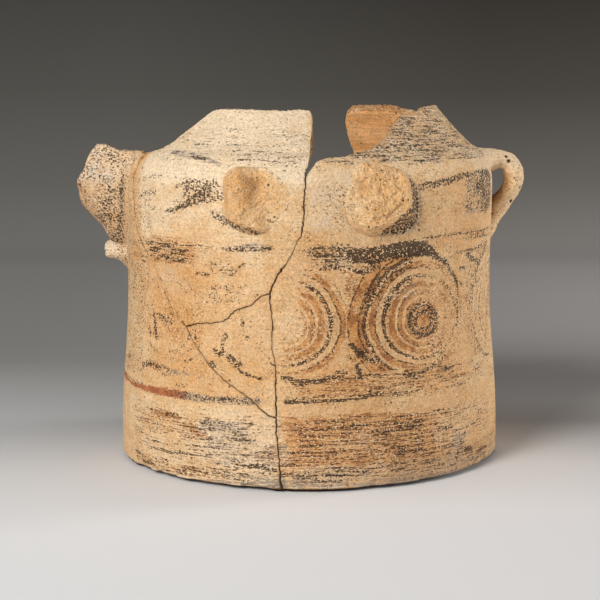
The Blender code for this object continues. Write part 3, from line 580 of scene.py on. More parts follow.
# What the brush left of each slip, as (share of it left, width in mm, points of (degrees, mm)); a point's
# own width comes third
SLIPS = ("black", "ochre", "red", "grey")
STROKES = {
    "black": [
        # on the neck and shoulder, and round the handle stumps
        (0.6, 2, [(-151.5, 139), (-149, 140), (-147, 141), (-146, 142), (-142, 142)]),
        (0.66, 1.3, [(-150, 149), (-147.5, 149), (-144, 149.6), (-139.5, 149.8)]),
        (0.6, 1.3, [(-144, 133.5), (-142.5, 134.3)]),
        (0.45, 0.9, [(-140, 167), (-134, 167.5), (-126, 167.2)]),
        (0.5, 1.6, [(-138, 161.4), (-130, 160.8), (-122, 158.8)]),
        (0.78, 4, [(-136.5, 133.5, 2), (-133.5, 134, 2), (-131, 135.5, 2.6), (-128, 137.5),
                   (-125.5, 139.5, 5), (-122.5, 142, 6), (-120.5, 146, 5)]),
        (0.72, 1, [(-134, 133.6), (-130, 136.2), (-125, 137.5), (-121, 139.4)]),
        (0.6, 1.2, [(-133.5, 138), (-130.5, 138.5)]), (0.6, 1.5, [(-133, 146), (-130.5, 146)]),
        (0.74, 3.2, [(-119, 134, 2), (-117, 132.2), (-114, 130.1, 4), (-110.5, 128, 3), (-107, 126),
                     (-104.6, 124.8, 2)]),
        (0.5, 1, [(-112, 159), (-103, 158.5), (-97, 158)]),
        (0.92, 5, [(-60.8, 148, 4), (-59.6, 143, 6.5), (-59.4, 138, 8), (-60.2, 133, 11),
                   (-62.4, 129.8, 12), (-65, 127, 8), (-69, 125.2, 3)]),
        (0.72, 3.2, [(-57, 145.6), (-53, 146.2), (-48, 147), (-43, 148.2), (-38, 149.3), (-34, 150)]),
        # in the band under the shoulder and along the seam beside the spout
        (0.42, 2.5, [(-147, 108.5), (-150, 107), (-153, 104), (-156, 101), (-158.5, 97), (-160.5, 91)]),
        (0.62, 3, [(-152.5, 110.4, 2), (-150.8, 107.6), (-149.4, 105.5, 1.6)]),
        (0.62, 3.2, [(-148.5, 116.2, 1.4), (-144, 116.4), (-137, 117), (-131, 117.2, 1.2)]),
        (0.66, 3.4, [(-147.5, 113.2, 1.4), (-142, 113.4), (-134, 114), (-128, 114.4, 1.4)]),
        (0.64, 3, [(-146, 110, 1.2), (-140, 110.2), (-132, 110.4), (-125, 110.6, 1.2)]),
        (0.52, 1.2, [(-130, 117.4), (-124, 117.2), (-121, 117), (-114, 117)]),
        (0.8, 1.5, [(-125, 104.5), (-122.5, 104), (-120.8, 103.5)]),
        (0.8, 1.8, [(-119.5, 109.3), (-118.3, 109)]),
        (0.8, 2, [(-116.5, 106), (-114.5, 106.5), (-112.5, 107)]),
        (0.66, 3.2, [(-115, 116.6), (-108, 117.4), (-101.6, 117.4)]),
        (0.72, 1.2, [(-113, 104), (-110.5, 108), (-108.5, 110.3)]),
        (0.62, 2, [(-91.5, 117), (-87, 115.5, 6), (-82, 114.5, 7.5), (-77, 114, 8)]),
        (0.8, 3, [(-80, 108.6, 1.4), (-78, 107.2, 2.4), (-75.6, 106), (-73, 107), (-70, 108.4, 3.4)]),
        (1, 3, [(-78, 114, 6.5), (-72, 113.6, 9), (-67, 115, 8), (-65, 115.3, 8)]),
        (1.15, 3, [(-66.5, 115, 7.5), (-63, 115.6, 8.2), (-59, 116, 8.4), (-55, 115.4, 7.4),
                   (-52, 114, 5.4)]),
        (0.9, 1, [(-55, 120.8), (-48, 121), (-40, 121.2), (-33, 121), (-24, 120.8), (-14, 120.6)]),
        (1.02, 3, [(-52.6, 114, 5), (-50, 111.3, 3.2), (-48, 110, 3), (-46, 107.8, 2.8),
                   (-44.3, 104, 2.6), (-42.5, 101.3, 2.6), (-41.2, 98.8, 3), (-40.2, 96.2, 2.2)]),
        (0.92, 1.1, [(-41, 111.7), (-36, 112), (-33, 112), (-28, 112.3), (-22, 113), (-18, 114)]),
        (0.9, 2, [(-38.8, 104), (-36.5, 104)]),
        (0.84, 1, [(-37, 118), (-28, 118), (-20, 117.4), (-14, 117)]),
        (0.76, 3.2, [(-34.5, 110), (-32.5, 108), (-30, 106.5), (-27, 105), (-25.5, 104.5)]),
        (0.6, 1.2, [(-33, 119.5), (-28, 119.5), (-22, 119)]),
        (0.76, 2.5, [(-18, 113.5), (-21, 110.5), (-24, 108.5), (-25.5, 106), (-27, 103.5),
                     (-28.5, 100, 1.6)]),
        # about the spirals and on the small sherd
        (0.45, 2.2, [(-148.5, 84), (-146.8, 80), (-147, 74), (-146, 70)]),
        (0.72, 1, [(-145.5, 66), (-143.5, 63.5), (-141.5, 63)]),
        (0.92, 2, [(-145.2, 84), (-144, 79), (-143, 74, 2.4), (-142.6, 68.8, 1.2)]),
        (0.8, 2, [(-144.5, 81.5, 1.2), (-141, 80.5), (-137.7, 78.6, 2.8)]),
        (0.66, 1.2, [(-144.5, 71), (-142, 70), (-139.5, 71)]), (0.62, 1.3, [(-140, 81.5), (-137, 79.5)]),
        (0.62, 0.8, [(-138.6, 94), (-135.3, 86), (-132.4, 81.5), (-129.8, 78)]),
        (0.5, 1.2, [(-126, 63), (-128, 60), (-130, 56)]),
        (0.55, 1.5, [(-125.5, 77), (-125.3, 72.5), (-124.5, 71), (-124, 68)]),
        (0.88, 2.2, [(-119.5, 61), (-118.3, 59.5)]),
        (0.88, 2.2, [(-118.5, 67.5), (-117, 65.5), (-115.5, 66)]),
        (0.92, 1.3, [(-116.3, 69.5), (-115.3, 67), (-114, 63.5), (-112, 60.5), (-110, 58), (-107, 56),
                     (-103.5, 55)]),
        (0.8, 1.2, [(-115.4, 98), (-114.8, 98.4)]), (0.6, 1.6, [(-115, 75), (-115.3, 71)]),
        (0.88, 2, [(-113.5, 65), (-112, 63), (-109.8, 61)]), (0.62, 1.6, [(-109.8, 83), (-109.5, 78.5)]),
        (0.55, 1, [(-108.8, 75), (-107.3, 72)]),
        (1.1, 2.8, [(-78.6, 71.4, 2), (-76, 68), (-73.6, 64.8), (-71.6, 62.7, 2)]),
        (1.05, 2.2, [(-76.6, 62, 1.4), (-76.2, 59, 2.6), (-75.5, 56)]),
        (0.6, 7, [(-74.4, 87, 4), (-72.3, 95, 7), (-68.4, 102.6, 8), (-64, 106.6, 6), (-60, 108.4, 4)]),
        (0.5, 5, [(-68, 86, 3), (-66.4, 93), (-63, 97.6), (-59, 100, 3)]),
        (0.7, 1.3, [(-40.2, 96.2), (-40, 92), (-40.1, 87), (-40.2, 82), (-40.5, 78, 1.8), (-40.8, 74.5)]),
        (0.9, 1.5, [(-38.4, 96.3), (-38, 96.1)]),
        (0.68, 1.7, [(-29.5, 94), (-31, 93), (-32, 89), (-33, 85.5)]),
        (0.6, 1.4, [(-28.5, 99.5), (-32, 98.5)]), (0.6, 1.6, [(-30, 95), (-27.5, 95), (-25.5, 95.8)]),
        (0.92, 1.3, [(-30, 63), (-26.5, 60), (-24, 57.5), (-21, 56), (-17, 55.3)]),
        # in the lines under the spirals
        (0.85, 0.9, [(-168, 44.6), (-160, 44), (-155, 44), (-149, 44.6)]),
        (0.7, 3, [(-162, 56), (-163.5, 54.5)]),
        (0.66, 3.2, [(-149.5, 53.5), (-146, 56), (-143, 55.5), (-140, 54.5)]),
        (0.6, 1.6, [(-139.5, 56), (-136.5, 55.5), (-135.5, 53), (-138, 52.3)]),
        (0.42, 3.4, [(-136, 43.6), (-129, 43.5)]), (0.5, 1.6, [(-132, 48.5), (-128.5, 48.7)]),
        (0.52, 3, [(-129, 43.3), (-122, 43.2), (-115, 43.7), (-106, 44)]),
        (0.82, 3, [(-97.5, 56), (-95, 54.5), (-92, 53.5), (-88, 54), (-85, 55.5), (-82.5, 57),
                   (-80, 58)]),
        (1, 2, [(-97, 44.6), (-93, 44.3), (-88, 44.6), (-82, 45), (-76, 45.6, 1.2), (-70, 46.2, 1)]),
        (0.6, 1.2, [(-94, 46.5), (-86, 47), (-80, 47.2), (-72, 46.7), (-66, 47), (-61, 47)]),
        (0.7, 0.9, [(-70, 55.5), (-60, 55.8), (-52, 56)]),
        (0.86, 2.5, [(-62, 55), (-58, 54.5), (-53, 57), (-49, 58)]),
        (0.66, 0.9, [(-60, 49.3), (-46, 49.5)]), (0.66, 0.9, [(-57, 51), (-46, 50.7)]),
        (0.72, 1.6, [(-50, 55), (-47, 55), (-44, 55), (-42, 56.3)]),
        (0.45, 1.6, [(-45, 50), (-40, 50.8), (-35, 50.5), (-30, 51.8), (-27, 51)]),
        (0.6, 0.9, [(-44, 46.8), (-39, 46), (-36, 46.5)]),
        (0.6, 1, [(-29, 47.5), (-25, 46.5), (-23, 47)]),
        # in the band above the foot
        (0.74, 0.9, [(-145.7, 17.4), (-138, 17.8), (-129.3, 18.7)]),
        (0.56, 2.2, [(-143, 32.3), (-139, 31.4), (-135, 31.8), (-131, 32.2)]),
        (0.74, 0.9, [(-143, 14), (-132, 14.3), (-120, 15)]),
        (0.46, 4, [(-128, 29.4), (-124, 27), (-120, 24)]),
        (0.98, 1.8, [(-111.6, 13), (-106, 12), (-99.8, 11.2)]),
        (0.72, 0.9, [(-92, 34), (-86, 34.1), (-80, 34)]), (0.72, 0.9, [(-92, 31), (-84, 31.2)]),
        (0.74, 0.9, [(-90, 23.5), (-78, 23.6), (-68, 23.4), (-58, 23.5)]),
        (0.72, 0.9, [(-64, 35), (-57, 35), (-50, 34.8)]), (0.72, 0.9, [(-55, 19.8), (-50, 19.8)]),
        (0.66, 1.2, [(-52, 26), (-44, 25.5)]), (0.66, 2.6, [(-37, 25, 1.6), (-39.5, 20), (-43, 10)]),
        (0.84, 2.6, [(-38.5, 12.4), (-35, 10.2)]), (0.94, 1.5, [(-31, 8.6), (-27.5, 9.2), (-23.7, 9.4)]),
    ],
    "ochre": [
        (0.8, 1.7, [(-149, 113.2), (-152.6, 117.6), (-154.8, 122.5), (-156, 128), (-157, 138),
                    (-157.4, 146), (-156.8, 155, 4), (-156.2, 160, 7)]),
        (0.7, 1.8, [(-33, 119.5), (-28, 119.5), (-22, 119)]),
        (0.95, 1.3, [(-149.3, 113.6), (-145.6, 108), (-141, 99.8), (-138, 93), (-135.2, 86),
                     (-132.4, 81.5), (-129.8, 78)]),
        (0.7, 3.2, [(-149.5, 53.5), (-146, 56), (-143, 55.5), (-140, 54.5)]),
        (0.55, 2.2, [(-45, 50), (-40, 50.8), (-35, 50.5), (-30, 51.8), (-27, 51)]),
        (0.85, 2.6, [(-143, 32.5), (-139, 31.5), (-135, 32), (-131, 32.3)]),
        (0.66, 4, [(-128, 29.4), (-124, 27), (-120, 24)]),
    ],
    "red": [
        (0.97, 2, [(-168, 43.4, 0.5), (-160, 42.6, 1.3), (-155, 42.5), (-150, 42.7, 2.6), (-145, 43, 3.2),
                   (-138, 43.2, 4), (-129, 43.5, 4)]),
    ],
    "grey": [
        (0.86, 2.2, [(-140, 161.5), (-134, 161), (-129, 160.5), (-124, 159.5), (-120, 158),
                     (-117.5, 156.5)]),
        (0.8, 2, [(-112, 128), (-109.5, 126)]),
        (0.6, 9, [(-61, 150, 5), (-59.2, 143, 9), (-58.6, 137, 11), (-60, 130, 13), (-65, 126, 8)]),
        (0.82, 3, [(-114, 117), (-110, 118), (-106, 118.5), (-103, 117.5)]),
        # grey over the black band's middle: a painted sheen on the black slip
        (0.4, 6, [(-66, 115.2), (-60, 116.2), (-54, 115.2, 4)]),
        (0.7, 2.4, [(-65, 93), (-61, 97), (-58, 98.5)]), (0.7, 2, [(-62, 92), (-59, 95), (-57.5, 94)]),
        (0.72, 2.5, [(-135, 54), (-128.5, 54)]),
        (0.98, 3.6, [(-129.5, 43.3), (-122, 43.2), (-115, 43.7), (-110, 43.7), (-105, 44.2)]),
        (0.6, 1.4, [(-122.8, 59.5), (-123, 53.5)]),
        (0.6, 3, [(-118, 7.4), (-114, 7.6)]), (0.6, 3, [(-105, 5), (-101, 5.2)]),
        (0.8, 4, [(-37, 25, 2.4), (-39.5, 20), (-43, 10)]),
    ],
}
# Single black lines that the brush's hairs left, as (how many, from and to in degrees, from and to in mm)
HAIRS = [
    (26, -93, -52, 10, 37), (12, -95, -47, 46.5, 56.5), (20, -146, -101, 7, 33), (10, -60, -26, 46, 57),
    (9, -58, -28, 10, 36), (30, 0, 165, 8, 37), (14, 0, 160, 46.5, 56.5), (6, -142, -94, 158, 170),
    (9, -150, -121, 108, 118),
]
chance = random.Random(7)
for count, first, last, low, high in HAIRS:
    for _ in range(count):
        start = chance.uniform(first, last - 6)
        end = min(start + chance.uniform(4, 22), last)
        rise = chance.uniform(low, high)
        line = [(start, rise)]
        line.append(((start + end) / 2, rise + chance.uniform(-0.4, 0.4)))
        line.append((end, rise + chance.uniform(-0.5, 0.5)))
        STROKES["black"].append((chance.uniform(0.40, 0.72), chance.uniform(0.6, 1.0), line))

# The running spirals as the brush turned them: their middles' height, first angle and step, how far one
# reaches to the left of its middle, and its rings as (mm from the middle, share of black, share of ochre)
SPIRAL_HEIGHT = 80.2
SPIRAL_FIRST = -55.0
SPIRAL_STEP = 42.45
SPIRAL_REACH = 41.4
RINGS = [
    (0, 0.55, 0.8), (1.3, 0, 0.85), (3.8, 0.97, 0.75), (5.8, 0.5, 0.8), (7, 0.97, 0.75), (9.4, 0.25, 0.9),
    (11.3, 0, 0.2), (12.6, 0.05, 0.84), (14.7, 0.66, 0.84), (15.3, 0, 0.2), (16.7, 0.1, 0.92),
    (19.8, 0, 0.4), (21.6, 0.98, 0.8), (23.5, 0, 0.2), (26.3, 0.84, 0.86), (27.1, 0.1, 0.9),
    (29.6, 0, 0.3), (31.2, 0.96, 0.86), (33, 0.12, 0.9), (34.4, 0.8, 0.88), (35.3, 0.05, 0.84),
    (39.8, 0.88, 0.8), (40.5, 0, 0.4),
]
RINGS_END = 42
# How much of each spiral is left, by the direction from its middle in degrees, from the right upwards
SPIRAL_LEFT = {
    -2: [(-180, 0.0), (-70, 0.0), (-40, 0.30), (40, 0.30), (75, 0.0), (180, 0.0)],
    -1: [(-180, 0.0), (-125, 0.0), (-95, 0.50), (-60, 0.78), (30, 0.84), (58, 0.76), (76, 0.0),
         (180, 0.0)],
    0: [(-180, 1.0), (-150, 0.90), (-120, 0.88), (-95, 0.80), (-70, 0.56), (-40, 0.40), (0, 0.36),
        (50, 0.36), (88, 0.46), (102, 0.84), (120, 1.0), (180, 1.0)],
    1: [(-180, 0.50), (-90, 0.30), (0, 0.62), (90, 0.50), (140, 0.34), (180, 0.50)],
    2: [(-180, 0.92), (-60, 0.70), (20, 0.96), (90, 0.62), (180, 0.92)],
    3: [(-180, 0.72), (-90, 0.96), (0, 0.80), (110, 0.95), (180, 0.72)],
    4: [(-180, 0.96), (-70, 0.66), (40, 0.90), (120, 0.72), (180, 0.96)],
    5: [(-180, 0.70), (-90, 0.42), (0, 0.12), (90, 0.30), (180, 0.70)],
}
# Slip that was washed or brushed over an area, as (share left, from and to in degrees, from and to in mm,
# how many mm it fades over at its sides)
WASHES = {
    "black": [
        (0.24, -146, -131, 109, 117.5, 9), (0.54, -129, -119, 139, 149, 5),
        (0.12, -145, -92, 157, 172, 8), (0.11, -85, -78.5, 128, 147, 5), (0.34, -84, -12, 158, 182, 6),
        (0.46, -36, -26, 132, 151, 5), (0.84, -27, -16, 130, 151, 4), (0.26, -50, -43, 60, 72, 5),
        (0.2, -125, -115, 92, 98, 5), (0.57, -91, -79, 107, 118, 6), (0.3, -128, -109, 16, 33, 8),
        (0.46, -150, -118, 4.5, 8.5, 5), (0.62, -118, -106, 5, 9, 5), (0.13, -146, -124, 12, 32, 9),
        (0.1, -150, -104, 10, 36, 9), (0.24, -95, -42, 46, 57, 10), (0.42, -70, -50, 46, 49, 10),
        (0.52, -73, -58, 17, 33, 9), (0.3, -92, -66, 27, 35, 6), (0.32, -92, -66, 19, 25, 6),
        (0.3, -93, -52, 12, 20, 8), (0.2, -92, -46, 12, 36, 8), (0.62, -72, -50, 7, 12.5, 6),
        (0.58, -92, -76, 6, 10.5, 6), (0.42, -97, -90, 9, 21, 4), (0.22, -50, -14, 44, 58, 9),
        (0.12, -46, -10, 6, 36, 9), (0.24, -50, -12, 4, 10, 8), (0.46, 0, 74, 108, 118, 9),
        (0.62, 24, 58, 110, 119, 7), (0.62, 92, 140, 110, 119, 7), (0.4, 70, 170, 109, 118, 9),
        (0.2, -170, -152, 84, 118, 6), (0.14, -180, -150, 48, 150, 8), (0.36, 6, 160, 49, 57, 24),
        (0.5, 22, 130, 41.8, 44.8, 14), (0.4, 20, 70, 14, 34, 12), (0.42, 100, 150, 10, 30, 12),
        (0.38, -10, 72, 158, 184, 6), (0.42, 100, 176, 146, 164, 6), (0.34, 16, 38, 136, 150, 14),
        (0.44, 121, 133, 130, 148, 9),
    ],
    "ochre": [
        (0.5, -144, -131, 108, 120.5, 11), (0.52, -149, -122, 4, 9, 6), (0.34, -146, -126, 22, 33, 8),
        (0.56, -104, -99, 15, 24, 4), (0.5, -94, -66, 46, 57, 9), (0.46, -72, -50, 46, 57, 16),
        (0.66, -94, -62, 13, 36.5, 16), (0.6, -80, -52, 12, 35, 18), (0.5, -93, -50, 9, 16, 8),
        (0.6, -97, -92, 9, 21, 5), (0.58, 16, 150, 46, 57, 40), (0.52, 14, 168, 10, 37, 30),
    ],
    "red": [
        (0.8, 130, 180, 41.5, 44.5, 5), (0.8, -180, -166, 42, 44, 5),
    ],
    "grey": [
        (0.14, -88, -78, 126, 150, 7), (0.52, -84, -12, 158, 182, 6), (0.6, -36, -15, 130, 151, 5),
        (0.7, -91, -78, 108, 117, 6), (0.8, -121, -112, 12, 33, 7), (0.62, -110, -99, 14, 24, 8),
        (0.8, -118, -99, 3, 9, 6), (0.7, -93, -40, 4, 12, 8), (0.8, -45, -39, 12, 21, 5),
        (0.5, -72, -12, 0, 8, 8), (0.84, 22, 130, 41.8, 44.8, 14), (0.46, -10, 72, 158, 184, 6),
    ],
}


def flat_spots(angle, height):
    """Points of the wall laid out flat, in metres."""
    return np.stack([angle * ARC * MM, height * MM, np.zeros(len(angle))], axis=1)


# The spirals are flatter below their middles; one hub is whole, and right of a middle its outer rings end
FLATTENED_BELOW = 1.25
HUB_REACH = 9.9
TAIL_REACH = 31.6


def spiral_left(angle, height):
    """How much of the spirals' rings is left at points of the wall, from 0 to 1."""
    start = SPIRAL_FIRST - SPIRAL_REACH / ARC
    count = np.floor((angle - start) / SPIRAL_STEP)
    across = (angle - SPIRAL_FIRST - count * SPIRAL_STEP) * ARC
    up = height - SPIRAL_HEIGHT
    way = np.degrees(np.arctan2(up, across))
    left = np.zeros(len(angle))
    for which, wear in SPIRAL_LEFT.items():
        ways, shares = np.array(wear).T
        left = np.where(count == which, np.interp(way, ways, shares), left)
    reach = np.hypot(across, np.where(up < 0, up * FLATTENED_BELOW, up))
    left = np.where((reach < HUB_REACH) & (count == 0), np.maximum(left, 0.9), left)
    left = np.where(count == -1, left * np.clip((reach - 8.6) / 3, 0.08, 1), left)
    left = left * np.where(across > -6, unit((TAIL_REACH - reach) / 0.8), 1.0)
    worn = np.clip(1.05 + 0.5 * clay_noise(flat_spots(angle, height), 70, 3, 1.0, 19), 0, 1.08)
    return left * worn * window(height, 58.5, 114, 2)


# How patchily each slip wears
UNEVENNESS = {"black": 0.7, "ochre": 0.3, "red": 0.3, "grey": 0.5}


def brush_cover(angle, height):
    """How much of each slip is left at points of the wall, from 0 for none to 1 for all of it."""
    spots = flat_spots(angle, height)
    x = angle * ARC + 0.45 * clay_noise(spots, 190, 2, 1.0, 12)
    y = height + 0.35 * clay_noise(spots, 190, 2, 1.0, 13)
    patchy = clay_noise(spots, 75, 3, 0.55, 14)
    ragged_x = angle * ARC + 7.0 * clay_noise(spots, 70, 3, 1.0, 15)
    ragged_x += 9.0 * clay_noise(spots, 430, 2, 0.03, 16)
    ragged_y = height + 1.6 * clay_noise(spots, 70, 3, 0.6, 17)
    ragged_y += 0.8 * clay_noise(spots, 400, 2, 0.25, 18)
    cover = np.zeros((len(x), len(SLIPS)))
    for k, slip in enumerate(SLIPS):
        thinned = np.clip(1 + UNEVENNESS[slip] * patchy, 0, 1.3)
        for share, left, right, low, high, fade in WASHES[slip]:
            inside = window(ragged_x, left * ARC, right * ARC, fade) * window(ragged_y, low, high, 1.4)
            cover[:, k] = np.maximum(cover[:, k], share * inside * thinned)
        for share, width, points in STROKES[slip]:
            line = np.array([(*point, width)[:3] for point in points])
            near, best = near_line(x, y, line[:, :2] * (ARC, 1), line[:, 2], 1.0)
            cover[near, k] = np.maximum(cover[near, k], share * best)
    return cover


# How the clay differs from place to place: its warmth, how far paint lies in brush lines, lime crust, and
# grime that also serves as painted shade, as (how much, from and to in degrees, from and to in mm, how
# softly)
TINTS = {
    "warm": [
        (0.46, 40, 84, 172, 190, 6), (0.18, -62, -20, 118, 146, 8), (0.22, -102, -84, 92, 124, 6),
        (-0.06, -168, -128, 120, 162, 10), (0.08, -130, -102, 48, 88, 8), (0.15, -70, -25, 4, 40, 8),
        (-0.62, -150, -92, 152, 190, 8), (-0.22, -150, -100, 118, 150, 14),
        (0.3, -152, -130, 78, 112, 20), (0.22, -84, -42, 52, 116, 10), (0.25, -97, -48, 4, 57, 8),
        (0.12, -40, 20, 10, 150, 20), (0.26, -146, -104, 45, 60, 8), (0.22, -140, -92, 62, 118, 18),
        (-0.12, -130, -102, 4, 36, 10), (-0.3, -26, 20, 146, 158, 8), (0.34, -165, -152, 108, 160, 3),
    ],
    "brushed": [
        (0.95, -180, 180, -2, 38, 3), (0.85, -180, 180, 156, 190, 4), (0.75, -160, -100, 106, 121, 3),
        (0.7, -100, 180, 44, 57.5, 2), (0.6, -100, -76, 109, 118, 2), (0.5, 0, 180, 106, 120, 3),
    ],
    "lime": [
        (0.34, 40, 84, 165.2, 165.8, 0.8), (0.34, 40, 84, 161.2, 161.8, 0.8),
        (0.3, 50, 84, 169.8, 170.4, 0.8), (0.2, 62, 80, 177, 181, 3), (0.2, -144, -139, 100, 106, 4),
        (0.22, -139, -134, 96, 103, 4), (0.2, -134, -129, 93, 99, 4), (0.3, -26, 20, 146, 158, 8),
        (0.4, -89, -79, 128, 152, 4), (0.55, -180, 180, -3, 2.5, 2), (0.2, -175, -163, 110, 156, 5),
        (0.22, -96, -40, 4, 30, 8),
    ],
    "grime_and_shade": [
        (0.06, 40, 84, 150, 160, 8), (0.15, 40, 84, 163, 163.8, 0.9), (0.16, 44, 84, 167.2, 168.4, 0.9),
        (0.14, 40, 78, 159, 159.8, 0.9), (0.18, 48, 60, 173, 177, 3), (0.1, 62, 72, 172, 175, 3),
        # painted contact shadow along the foot's lowest edge, and painted shade on the right near the foot
        (1.9, -180, 180, -3, 1.3, 1), (0.34, -66, -4, -2, 13, 5),
    ],
}
GRIME_AND_SHADE_CHANNEL = list(TINTS).index("grime_and_shade")
# Painted shadow under the lower sides of the handle stumps, and a dark line along the worn edge of the left
# neck
STUMP_SHADOWS_AND_NECK_LINE = [
    [(-89.2, 181.8), (-89.0, 176), (-88.9, 168), (-88.6, 160), (-88.8, 156.5)],
    [(-115.6, 136), (-114.8, 131), (-112, 127), (-108, 125.2), (-103, 125.0)],
    [(-80.2, 134), (-79, 129), (-76, 125.2), (-71, 123.5), (-66, 123.5), (-62, 125.4), (-59.4, 130),
     (-58.6, 137)],
]
# Dirt lies in the upper break as far as this many of its points
DIRTY_POINTS = 22


def clay_state(angle, height):
    """The four values of TINTS at points of the wall."""
    x, y = angle * ARC, height
    state = np.zeros((len(x), len(TINTS)))
    for k, tints in enumerate(TINTS.values()):
        for amount, left, right, low, high, soft in tints:
            state[:, k] += amount * window(x, left * ARC, right * ARC, soft) * window(y, low, high, soft)
    # Dirt in the breaks, and the painted stump shadows and neck line
    dirt_and_shade_lines = []
    for route, seed in ((front_route, FRONT_SEED), (upper_route[:DIRTY_POINTS], UPPER_SEED),
                        (TRIANGLE_LEFT_BREAK, LEFT_SEED), (BACK_BREAK, BACK_SEED)):
        points, gaps = jagged(route, seed)
        dirt_and_shade_lines.append((1.0, points, gaps * 1.15))
    dirt_and_shade_lines += [(0.7, through_points(darkened_line, CURVE_POINTS) * (ARC, 1), 0.5) for darkened_line in STUMP_SHADOWS_AND_NECK_LINE]
    for share, points, widths in dirt_and_shade_lines:
        near, best = near_line(x, y, points, widths, 1.2)
        state[near, GRIME_AND_SHADE_CHANNEL] = np.maximum(state[near, GRIME_AND_SHADE_CHANNEL], share * best)
    return state


def lay(kind, feeds, tree=None, **settings):
    """A node with its inputs fed by sockets or plain values, in their tree unless another is given."""
    if tree is None:
        tree = next(feed.id_data for feed in feeds.values() if isinstance(feed, bpy.types.NodeSocket))
    step = tree.nodes.new(kind)
    for key, value in settings.items():
        setattr(step, key, value)
    for key, feed in feeds.items():
        if isinstance(feed, bpy.types.NodeSocket):
            tree.links.new(feed, step.inputs[key])
        else:
            step.inputs[key].default_value = feed
    return step


def sums(operation, *feeds):
    return lay("ShaderNodeMath", dict(enumerate(feeds)), operation=operation).outputs[0]


def times(first, second):
    return sums("MULTIPLY", first, second)


def scaled(value, factor, rest):
    """value * factor + rest"""
    return sums("MULTIPLY_ADD", value, factor, rest)


def attribute(tree, name):
    return lay("ShaderNodeAttribute", {}, tree, attribute_name=name).outputs


def split(colour):
    """The three values in a colour."""
    return lay("ShaderNodeSeparateColor", {0: colour}).outputs


def between(share, first, second):
    return lay("ShaderNodeMix", {0: share, 2: first, 3: second}).outputs[0]


def spread(value, low, high, to_low=0.0, to_high=1.0, smooth=False):
    """A value's run from low to high as one from to_low to to_high, cut off at its ends."""
    kind = "SMOOTHSTEP" if smooth else "LINEAR"
    feeds = {0: value, 1: low, 2: high, 3: to_low, 4: to_high}
    return lay("ShaderNodeMapRange", feeds, interpolation_type=kind).outputs[0]


def blend(share, first, second, mode="MIX"):
    feeds = {0: share, 6: first, 7: second}
    return lay("ShaderNodeMix", feeds, data_type="RGBA", blend_type=mode).outputs[2]


def noise_step(place, scale, detail=3.0, flatten=1.0):
    """Noise about 0.5 at the clay's own scale; flatten draws it out along the turn of the wheel."""
    if flatten != 1.0:
        place = lay("ShaderNodeMapping", {0: place, 3: (flatten, flatten, 1.0)}).outputs[0]
    feeds = {"Vector": place, "Scale": scale, "Detail": detail, "Roughness": 0.6}
    return lay("ShaderNodeTexNoise", feeds).outputs[0]


def mottle(place, scale, detail=3.0, flatten=1.0):
    """The same noise, spread so that each share of it from 0 to 1 is about as common as the next."""
    return spread(noise_step(place, scale, detail, flatten), 0.39, 0.61)


def cells(place, scale):
    """How far a point is from the middle of its cell, and three random values of the cell."""
    step = lay("ShaderNodeTexVoronoi", {"Vector": place, "Scale": scale, "Randomness": 1.0})
    return step.outputs["Distance"], split(step.outputs["Color"])


def grit(place, scale, size, share):
    """Grains: 1 on a grain and 0 between, where share is how many of the places hold one."""
    away, lots = cells(place, scale)
    held = sums("LESS_THAN", lots[0], share)
    wide = scaled(lots[1], size * 0.6, size * 0.4)
    inside = sums("SUBTRACT", wide, away)
    return times(held, spread(inside, 0.0, 0.10, smooth=True))


def ramp(value, stops, kind="LINEAR"):
    """A run of colours, as (place from 0 to 1, colour), picked by a value."""
    step = lay("ShaderNodeValToRGB", {0: value})
    step.color_ramp.interpolation = kind
    elements = step.color_ramp.elements
    while len(elements) < len(stops):
        elements.new(0.5)
    for element, (at, colour) in zip(elements, stops):
        element.position = at
        element.color = colour
    return step.outputs[0]


def new_finish(name):
    """A material with nodes, and the place of each of the piece's points."""
    finish = bpy.data.materials.new(name)
    finish.use_nodes = True
    return finish, lay("ShaderNodeTexCoord", {}, finish.node_tree).outputs["Object"]


def dress(colour, rough, height, strength=1.0, depth=MM):
    """Feeds a material its colour, its roughness and its small relief."""
    tree = colour.id_data
    shader = tree.nodes["Principled BSDF"]
    bump = lay("ShaderNodeBump", {"Strength": strength, "Distance": depth, "Height": height})
    for name, feed in (("Base Color", colour), ("Roughness", rough), ("Normal", bump.outputs[0])):
        tree.links.new(feed, shader.inputs[name])


# The clay's colours, what lies on it (its grime colour also serves as painted shade), the painted contact
# shadow under the foot, and each slip where it is thick and where it is thin
BUFF = (0.69, 0.452, 0.24, 1)
WARM = (0.60, 0.315, 0.12, 1)
PALE = (0.775, 0.60, 0.405, 1)
CREAM = (0.82, 0.66, 0.45, 1)
LIME = (0.72, 0.61, 0.475, 1)
GRIME_AND_SHADE_COLOUR = (0.17, 0.075, 0.022, 1)
FOOT_CONTACT_SHADOW = (0.025, 0.012, 0.005, 1)
FLECK = (0.075, 0.037, 0.014, 1)
SLIP_COLOURS = {
    "ochre": ((0.605, 0.285, 0.090, 1), (0.34, 0.125, 0.036, 1)),
    "red": ((0.47, 0.145, 0.052, 1), (0.30, 0.080, 0.033, 1)),
    "grey": ((0.27, 0.232, 0.205, 1), (0.12, 0.10, 0.09, 1)),
    "black": ((0.094, 0.056, 0.031, 1), (0.036, 0.020, 0.010, 1)),
}
THIN_BLACK = (0.205, 0.090, 0.032, 1)
BRUSH_LINE = (0.115, 0.044, 0.013, 1)


